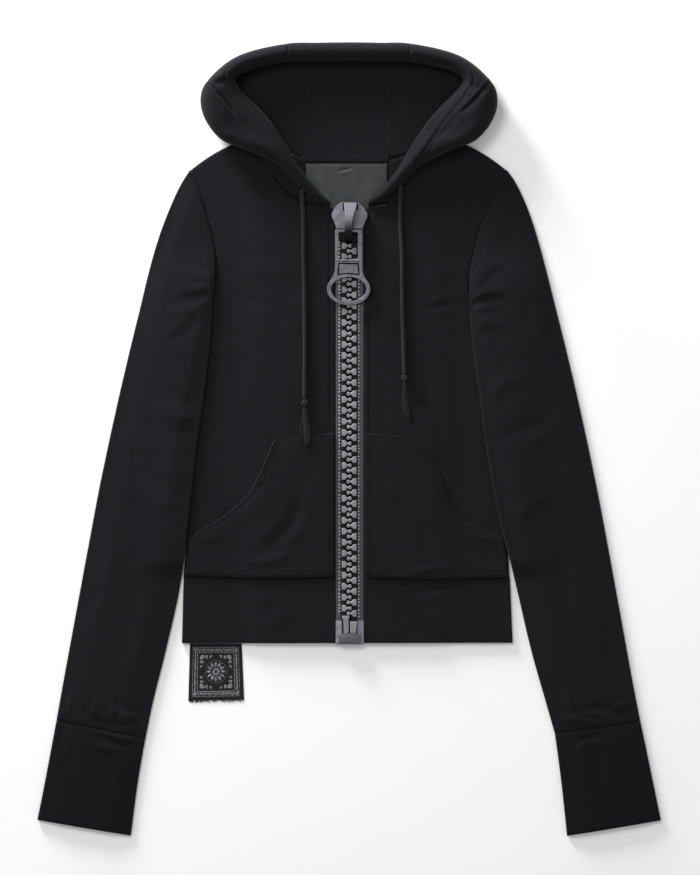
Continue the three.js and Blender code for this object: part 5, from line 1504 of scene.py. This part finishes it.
def fleece_jersey(tree, shader, tone=1.0):
    """Cotton fleece with a jersey face: matt black that soaks up light, with fine fibres, knit columns drawn
    coarser than real so that they still show, and a few stray specks of lint."""
    cloth = looks().cloth
    colour, fibres, place = mottled(tree, shade(cloth, tone * 0.8), shade(cloth, tone * 1.2),
                                    {"Scale": 620.0, "Detail": 4.0, "Roughness": 0.65})
    lint = add_node(tree, "TexVoronoi", {"Vector": place, "Scale": 190.0}, feature="F1")
    speck = add_node(tree, "MapRange", {"Value": lint, "From Min": 0.05, "From Max": 0.1, "To Min": 0.3,
                                        "To Max": 0.0})
    drift = add_node(tree, "TexNoise", {"Vector": place, "Scale": 40.0, "Detail": 2.0})
    where = add_node(tree, "MapRange", {"Value": drift, "From Min": 0.58, "From Max": 0.75})
    faint = add_node(tree, "Math", {0: speck, 1: where}, operation="MULTIPLY")
    final = add_node(tree, "Mix", {0: faint, 6: colour, 7: to_linear("#6c6c72")}, 2, data_type="RGBA")
    uv = add_node(tree, "TexCoord", {}, "UV")
    columns = add_node(tree, "TexWave", {"Vector": uv, "Scale": bands(0.0012), "Distortion": 1.2,
                                         "Detail": 1.0}, 1, bands_direction="X")
    knit = add_node(tree, "Bump", {"Height": columns, "Distance": 0.00012, "Strength": 0.5})
    nap = add_node(tree, "Bump", {"Height": fibres, "Distance": 0.0003, "Strength": 0.7, "Normal": knit})
    soft = add_node(tree, "TexNoise", {"Vector": place, "Scale": 70.0, "Detail": 2.0})
    loft = add_node(tree, "Bump", {"Height": soft, "Distance": 0.0007, "Strength": 0.4, "Normal": nap})
    feed(tree, shader, {"Base Color": final, "Roughness": roughness(tree, fibres, 0.86, 0.97), "Normal": loft,
                        "Sheen Weight": 0.05, "Sheen Roughness": 0.45, "Specular IOR Level": 0.15})


def cuff_jersey_painted_shade(tree, shader):
    """The same fleece, doubled at the cuffs, its tone lowered as painted shade, since the cloth darkens
    towards the bottom, furthest from the light.
    """
    fleece_jersey(tree, shader, 0.6)


def satin_facing(tree, shader):
    """Warp satin of filament polyester: a soft grey shine across fine lengthwise floats."""
    colour, cloud, uv = mottled(tree, shade(looks().patch, 0.85), shade(looks().patch, 1.2),
                                {"Scale": 80.0, "Detail": 3.0}, space="UV")
    floats = add_node(tree, "TexWave", {"Vector": uv, "Scale": bands(0.0009), "Distortion": 2.0,
                                        "Detail": 2.0}, 1, bands_direction="X")
    fine = add_node(tree, "Bump", {"Height": floats, "Distance": 0.00006, "Strength": 0.6})
    soft = add_node(tree, "Bump", {"Height": cloud, "Distance": 0.0006, "Strength": 0.5, "Normal": fine})
    feed(tree, shader, {"Base Color": colour, "Roughness": roughness(tree, floats, 0.42, 0.58, (0.0, 1.0)),
                        "Normal": soft, "Specular IOR Level": 0.3})


def damask_ground(tree, shader):
    """Damask label ground: tight black satin weave with a faint diagonal rib."""
    uv = add_node(tree, "TexCoord", {}, "UV")
    turned = add_node(tree, "Mapping", {"Vector": uv, "Rotation": (0.0, 0.0, math.radians(30.0))})
    ribs = add_node(tree, "TexWave", {"Vector": turned, "Scale": bands(0.0011), "Distortion": 0.6}, 1,
                    bands_direction="X")
    colour = add_node(tree, "Mix", {0: ribs, 6: shade(looks().label, 0.7), 7: shade(looks().label, 1.4)}, 2,
                      data_type="RGBA")
    finish(tree, shader, colour, ribs, (0.00012, 0.7), {"Roughness": 0.7, "Specular IOR Level": 0.25})


def weft_thread(tree, shader):
    """Light filament thread of the label's pattern, uneven in tone where it dives under the ground."""
    colour, uneven, _ = mottled(tree, to_linear("#363638"), to_linear("#858587"),
                                {"Scale": 700.0, "Detail": 3.0}, (0.35, 0.65))
    finish(tree, shader, colour, uneven, (0.0002, 0.6), {"Roughness": 0.6})


def woven_tape(tree, shader):
    """Woven polyester zip tape: grey twill strips outside, and under the teeth crosswise cords with darker
    gaps between them, all painted near black as the shadow of the teeth."""
    place = add_node(tree, "TexCoord", {}, "Object")
    across = add_node(tree, "SeparateXYZ", {"Vector": place})
    reach = add_node(tree, "Math", {0: across}, operation="ABSOLUTE")
    outside = add_node(tree, "MapRange", {"Value": reach, "From Min": 0.0102, "From Max": 0.0112})
    twill = add_node(tree, "TexWave", {"Vector": place, "Scale": bands(0.0016), "Distortion": 0.8}, 1,
                     bands_direction="DIAGONAL")
    cords = add_node(tree, "TexWave", {"Vector": place, "Scale": bands(0.0019), "Distortion": 0.3}, 1,
                     bands_direction="Y")
    strips = add_node(tree, "Mix", {0: twill, 6: shade(looks().tape, 0.6), 7: shade(looks().tape, 1.5)}, 2,
                      data_type="RGBA")
    # painted shadow: the tape under the teeth is coloured near black
    under = add_node(tree, "Mix", {0: cords, 6: to_linear("#050506"), 7: to_linear("#1e1e20")}, 2,
                     data_type="RGBA")
    colour = add_node(tree, "Mix", {0: outside, 6: under, 7: strips}, 2, data_type="RGBA")
    height = add_node(tree, "Mix", {0: outside, 2: cords, 3: twill})
    finish(tree, shader, colour, height, (0.0003, 0.9),
           {"Roughness": roughness(tree, twill, 0.68, 0.85, (0.0, 1.0)), "Specular IOR Level": 0.25})


def acetal_teeth(tree, shader):
    """Injection-moulded acetal: even mid grey with a waxy gloss and a faint moulded grain."""
    grain = moulded(tree, shader, looks().teeth, (0.00006, 0.5), {"IOR": 1.48})
    feed(tree, shader, {"Roughness": roughness(tree, grain, 0.36, 0.52)})


def acetal_box(tree, shader):
    """The same acetal in a darker batch, for the box at the end of the zip."""
    moulded(tree, shader, shade(looks().teeth, 0.36), (0.00008, 0.6), {"Roughness": 0.5})


def nylon_film(tree, shader):
    """Welded nylon film on the tape ends: thin, glossy, a little wrinkled."""
    moulded(tree, shader, shade(looks().tape, 3.4), (0.0003, 0.8), {"Roughness": 0.28}, 0.7, 1.3)


def lacquered_zinc(tree, shader):
    """Tumbled zinc casting under clear satin lacquer: brushed grey metal with rubbed, lighter patches."""
    colour, _, place = mottled(tree, shade(looks().metal, 0.8), shade(looks().metal, 1.25),
                               {"Scale": 140.0, "Detail": 4.0}, (0.35, 0.68))
    pulled = add_node(tree, "Mapping", {"Vector": place, "Scale": (1.0, 0.08, 1.0)})
    brushed = add_node(tree, "TexNoise", {"Vector": pulled, "Scale": 1600.0, "Detail": 4.0})
    finish(tree, shader, colour, brushed, (0.00005, 0.5),
           {"Roughness": roughness(tree, brushed, 0.34, 0.5), "Metallic": 0.7, "Coat Weight": 0.2,
            "Coat Roughness": 0.3})


def zinc_painted_as_shadow(tree, shader):
    """Zinc painted near black as the shadow in the grooves and under the pull."""
    moulded(tree, shader, to_linear("#0b0b0d"), (0.00008, 0.6),
            {"Roughness": 0.7, "Specular IOR Level": 0.15})


def bridge_zinc_painted_shade(tree, shader):
    """Lacquered zinc of the bridge, bright above and painted blue-black towards its lower end as the shade
    where it dips under the pull.
    """
    place = add_node(tree, "TexCoord", {}, "Object")
    way = add_node(tree, "SeparateXYZ", {"Vector": place}, "Y")
    # painted shade: the colour darkens with Y towards the bridge's lower end
    level = add_node(tree, "MapRange", {"Value": way, "From Min": 0.257, "From Max": 0.280},
                     interpolation_type="SMOOTHSTEP")
    colour = add_node(tree, "Mix", {0: level, 6: to_linear("#141418"), 7: shade(looks().metal, 1.15)}, 2,
                      data_type="RGBA")
    grain = add_node(tree, "TexNoise", {"Vector": place, "Scale": 1400.0, "Detail": 3.0})
    finish(tree, shader, colour, grain, (0.00008, 0.6),
           {"Roughness": 0.45, "Metallic": 0.6, "Specular IOR Level": 0.25})


def braided_cotton(tree, shader):
    """Braided cotton drawcord: charcoal yarn with fine plies and a dry, dusty surface."""
    colour, yarn, _ = mottled(tree, shade(looks().cord, 0.7), shade(looks().cord, 1.4),
                              {"Scale": 900.0, "Detail": 4.0})
    finish(tree, shader, colour, yarn, (0.0003, 0.8),
           {"Roughness": 0.9, "Sheen Weight": 0.08, "Specular IOR Level": 0.2})


def thread_painted_shade(tree, shader):
    """Spun polyester sewing thread, sunk into the cloth and painted darker than it as shade, so that its
    sides lit by the low light still read as dark lines.
    """
    colour, uneven, _ = mottled(tree, shade(looks().cloth, 0.12), shade(looks().cloth, 0.3),
                                {"Scale": 500.0, "Detail": 2.0}, (0.0, 1.0))
    finish(tree, shader, colour, uneven, (0.0001, 0.6), {"Roughness": 0.8, "Specular IOR Level": 0.1})


def tape_thread(tree, shader):
    """Light grey filament sewing of the zip tapes."""
    colour, uneven, _ = mottled(tree, to_linear("#8a8a8d"), to_linear("#cacacc"),
                                {"Scale": 320.0, "Detail": 2.0}, (0.0, 1.0))
    finish(tree, shader, colour, uneven, (0.0002, 0.6), {"Roughness": 0.55})


def matt_floor(tree, shader):
    """Matt white paint, a little uneven, that shows only soft shadow."""
    colour, _, _ = mottled(tree, to_linear("#f4f4f4"), to_linear("#f7f7f7"), {"Scale": 2.5}, (0.0, 1.0))
    feed(tree, shader, {"Base Color": colour, "Roughness": 0.95, "Specular IOR Level": 0.0})


MATERIALS = {
    "cotton fleece jersey": fleece_jersey,
    "doubled fleece jersey": cuff_jersey_painted_shade,
    "polyester satin facing": satin_facing,
    "woven damask ground": damask_ground,
    "polyester weft thread": weft_thread,
    "woven polyester tape": woven_tape,
    "moulded acetal": acetal_teeth,
    "moulded acetal, dark": acetal_box,
    "nylon film": nylon_film,
    "satin lacquered zinc": lacquered_zinc,
    "blackened zinc": zinc_painted_as_shadow,
    "tarnished zinc": bridge_zinc_painted_shade,
    "braided cotton cord": braided_cotton,
    "spun polyester thread": thread_painted_shade,
    "filament sewing thread": tape_thread,
    "matt white paint": matt_floor,
}


def made_of(name):
    """The material of that name, made by its function when it is first asked for."""
    found = bpy.data.materials.get(name)
    if found is None:
        found = bpy.data.materials.new(name)
        found.use_nodes = True
        MATERIALS[name](found.node_tree, found.node_tree.nodes["Principled BSDF"])
    return found


# The stage, in metres but for the floor's level and the camera's centre, which are in millimetres
FLOOR_SIZE, FLOOR_LEVEL = 8.0, -0.2
CAMERA_DISTANCE = 4.0
CAMERA_CENTRE = (1.25, 1.56)
FRAME_HEIGHT = 1.09375
SENSOR_HEIGHT = 24.0

# Soft round lights: a high one at the upper left, and a low one from the top, whose shadow falls to the
# lower right
LIGHTS = listed(
    "name place power size",
    ("high soft light", (-1.1, 1.3, 2.2), "high_light", 1.1),
    ("low soft light", (-1.5, 2.6, 0.50), "low_light", 0.9),
)


def build_stage(settings):
    """Floor, even light from all around, two large soft lights, and the camera straight above."""
    half = FLOOR_SIZE / 2.0 / MM
    corners = [(x, y, FLOOR_LEVEL) for x, y in ((-half, -half), (half, -half), (half, half), (-half, half))]
    floor = mesh_object("floor", np.array(corners), np.array([[0, 1, 2, 3]]), smooth=False)
    floor.data.materials.append(made_of("matt white paint"))
    scene = bpy.context.scene
    scene.view_settings.view_transform = "Standard"
    world = bpy.data.worlds.new("even studio light")
    scene.world = world
    world.use_nodes = True
    background = world.node_tree.nodes["Background"]
    background.inputs["Color"].default_value = (1.0, 1.0, 1.0, 1.0)
    background.inputs["Strength"].default_value = settings.fill_light
    for light in LIGHTS:
        lamp = bpy.data.lights.new(light["name"], "AREA")
        lamp.shape = "DISK"
        lamp.size = light["size"]
        lamp.energy = getattr(settings, light["power"])
        holder = placed(light["name"], lamp)
        holder.location = light["place"]
        away = np.array(light["place"]) / np.linalg.norm(light["place"])
        holder.rotation_euler = (math.acos(away[2]), 0.0, math.atan2(away[0], -away[1]))
    lens = bpy.data.cameras.new("camera")
    lens.sensor_fit = "VERTICAL"
    lens.sensor_height = SENSOR_HEIGHT
    lens.lens = SENSOR_HEIGHT * CAMERA_DISTANCE / FRAME_HEIGHT
    camera = placed("camera", lens)
    camera.location = (CAMERA_CENTRE[0] * MM, CAMERA_CENTRE[1] * MM, CAMERA_DISTANCE)
    scene.camera = camera


def number_property(name, description, value, **settings):
    """A number that a user can change."""
    return bpy.props.FloatProperty(name=name, description=description, default=value, **settings)


def colour_property(name, value):
    """A colour that a user can change, from an sRGB hex value."""
    description = f"Colour of the {name.lower()}"
    return bpy.props.FloatVectorProperty(name=name, description=description, subtype="COLOR", size=4, min=0.0,
                                         max=1.0, default=to_linear(value))


class HoodieStage(bpy.types.PropertyGroup):
    """Strengths of the lights."""

    fill_light: number_property("Fill light", "Strength of the even light from all around", 0.55, min=0.0)
    high_light: number_property("High light", "Power of the light at the upper left", 28.0, unit="POWER")
    low_light: number_property("Low light", "Power of the light that casts the shadow", 200.0, unit="POWER")


class HoodieLooks(bpy.types.PropertyGroup):
    """Colours of the pieces, and sizes of the sewing."""

    cloth: colour_property("Cloth", "#111015")
    patch: colour_property("Neck patch", "#2b2d30")
    label: colour_property("Label ground", "#0e0e10")
    tape: colour_property("Zip tape", "#45444a")
    teeth: colour_property("Teeth", "#77767b")
    metal: colour_property("Metal", "#706f76")
    cord: colour_property("Cords", "#19181c")
    crease_height: number_property("Crease height", "Factor on the height of every crease", 1.0, min=0.0,
                                   max=1.5, subtype="FACTOR")
    stitch_length: number_property("Stitch length", "Length of one topstitch", 0.0026, unit="LENGTH")
    stitch_radius: number_property("Stitch radius", "Radius of the sewing thread", 0.0004, unit="LENGTH")


class HOODIE_OT_stage(bpy.types.Operator):
    """Makes the floor, the lights and the camera"""

    bl_idname = "hoodie.stage"
    bl_label = "Stage and camera"

    def execute(self, context):
        build_stage(context.scene.hoodie_stage)
        return {"FINISHED"}


class HOODIE_OT_cords(bpy.types.Operator):
    """Makes both drawcords with their knots and frayed tails"""

    bl_idname = "hoodie.cords"
    bl_label = "Drawcords"

    def execute(self, context):
        for side in SIDES:
            drawcord(side, made_of("braided cotton cord"))
        return {"FINISHED"}


class HOODIE_OT_body(bpy.types.Operator):
    """Makes the back, both fronts and the hem band"""

    bl_idname = "hoodie.body"
    bl_label = "Body and hem band"

    def execute(self, context):
        back_panel(made_of("cotton fleece jersey"))
        for side in SIDES:
            front_panel(side, made_of("cotton fleece jersey"))
        hem_band(made_of("cotton fleece jersey"))
        return {"FINISHED"}


class HOODIE_OT_pockets(bpy.types.Operator):
    """Makes both kangaroo pockets"""

    bl_idname = "hoodie.pockets"
    bl_label = "Pockets"

    def execute(self, context):
        for side in SIDES:
            pocket(side, made_of("cotton fleece jersey"))
        return {"FINISHED"}


class HOODIE_OT_sleeves(bpy.types.Operator):
    """Makes both sleeves and both cuffs"""

    bl_idname = "hoodie.sleeves"
    bl_label = "Sleeves and cuffs"

    def execute(self, context):
        for side in SIDES:
            sleeve(side, made_of("cotton fleece jersey"))
            # the cuffs' fleece is darkened as painted shade
            cuff(side, made_of("doubled fleece jersey"))
        return {"FINISHED"}


class HOODIE_OT_hood(bpy.types.Operator):
    """Makes the three panels of the hood and its casing"""

    bl_idname = "hoodie.hood"
    bl_label = "Hood"

    def execute(self, context):
        hood(made_of("cotton fleece jersey"))
        return {"FINISHED"}


class HOODIE_OT_trims(bpy.types.Operator):
    """Makes the neck tape, the neck patch and the hem label"""

    bl_idname = "hoodie.trims"
    bl_label = "Neck trims and label"

    def execute(self, context):
        neck_trims(made_of("cotton fleece jersey"), made_of("polyester satin facing"))
        hem_label(made_of("woven damask ground"), made_of("polyester weft thread"))
        return {"FINISHED"}


class HOODIE_OT_zip(bpy.types.Operator):
    """Makes the tapes, teeth, stops, box, slider and pull tab"""

    bl_idname = "hoodie.zip"
    bl_label = "Zip"

    def execute(self, context):
        for side in SIDES:
            zip_tape(side, made_of("woven polyester tape"))
            tape_dots(side, made_of("filament sewing thread"))
            zip_teeth(side, made_of("moulded acetal"))
        zip_ends(made_of("moulded acetal"), made_of("moulded acetal, dark"), made_of("nylon film"))
        slider(made_of("satin lacquered zinc"), made_of("blackened zinc"), made_of("tarnished zinc"))
        pull_tab(made_of("satin lacquered zinc"), made_of("blackened zinc"))
        return {"FINISHED"}


class HOODIE_OT_stitching(bpy.types.Operator):
    """Makes the topstitching of the body"""

    bl_idname = "hoodie.stitching"
    bl_label = "Topstitching"

    def execute(self, context):
        topstitching(made_of("spun polyester thread"))
        return {"FINISHED"}


class HOODIE_PT_pieces(bpy.types.Panel):
    """Lists the operators in the order in which they are run"""

    bl_label = "Hoodie"
    bl_idname = "HOODIE_PT_pieces"
    bl_space_type = "VIEW_3D"
    bl_region_type = "UI"
    bl_category = "Hoodie"

    def draw(self, context):
        for operator in OPERATORS:
            self.layout.operator(operator.bl_idname)
        for name in HoodieStage.__annotations__:
            self.layout.prop(context.scene.hoodie_stage, name)
        for name in HoodieLooks.__annotations__:
            self.layout.prop(context.scene.hoodie_looks, name)


OPERATORS = (HOODIE_OT_stage, HOODIE_OT_cords, HOODIE_OT_body, HOODIE_OT_pockets, HOODIE_OT_sleeves,
             HOODIE_OT_hood, HOODIE_OT_trims, HOODIE_OT_zip, HOODIE_OT_stitching)
CLASSES = (HoodieStage, HoodieLooks, *OPERATORS, HOODIE_PT_pieces)


def register():
    for item in CLASSES:
        bpy.utils.register_class(item)
    bpy.types.Scene.hoodie_stage = bpy.props.PointerProperty(type=HoodieStage)
    bpy.types.Scene.hoodie_looks = bpy.props.PointerProperty(type=HoodieLooks)


def unregister():
    del bpy.types.Scene.hoodie_stage
    del bpy.types.Scene.hoodie_looks
    for item in reversed(CLASSES):
        bpy.utils.unregister_class(item)


def main():
    """Makes every piece in order."""
    register()
    for operator in OPERATORS:
        getattr(bpy.ops.hoodie, operator.bl_idname.split(".")[1])()
    bpy.context.view_layer.update()


if __name__ == "__main__":
    main()
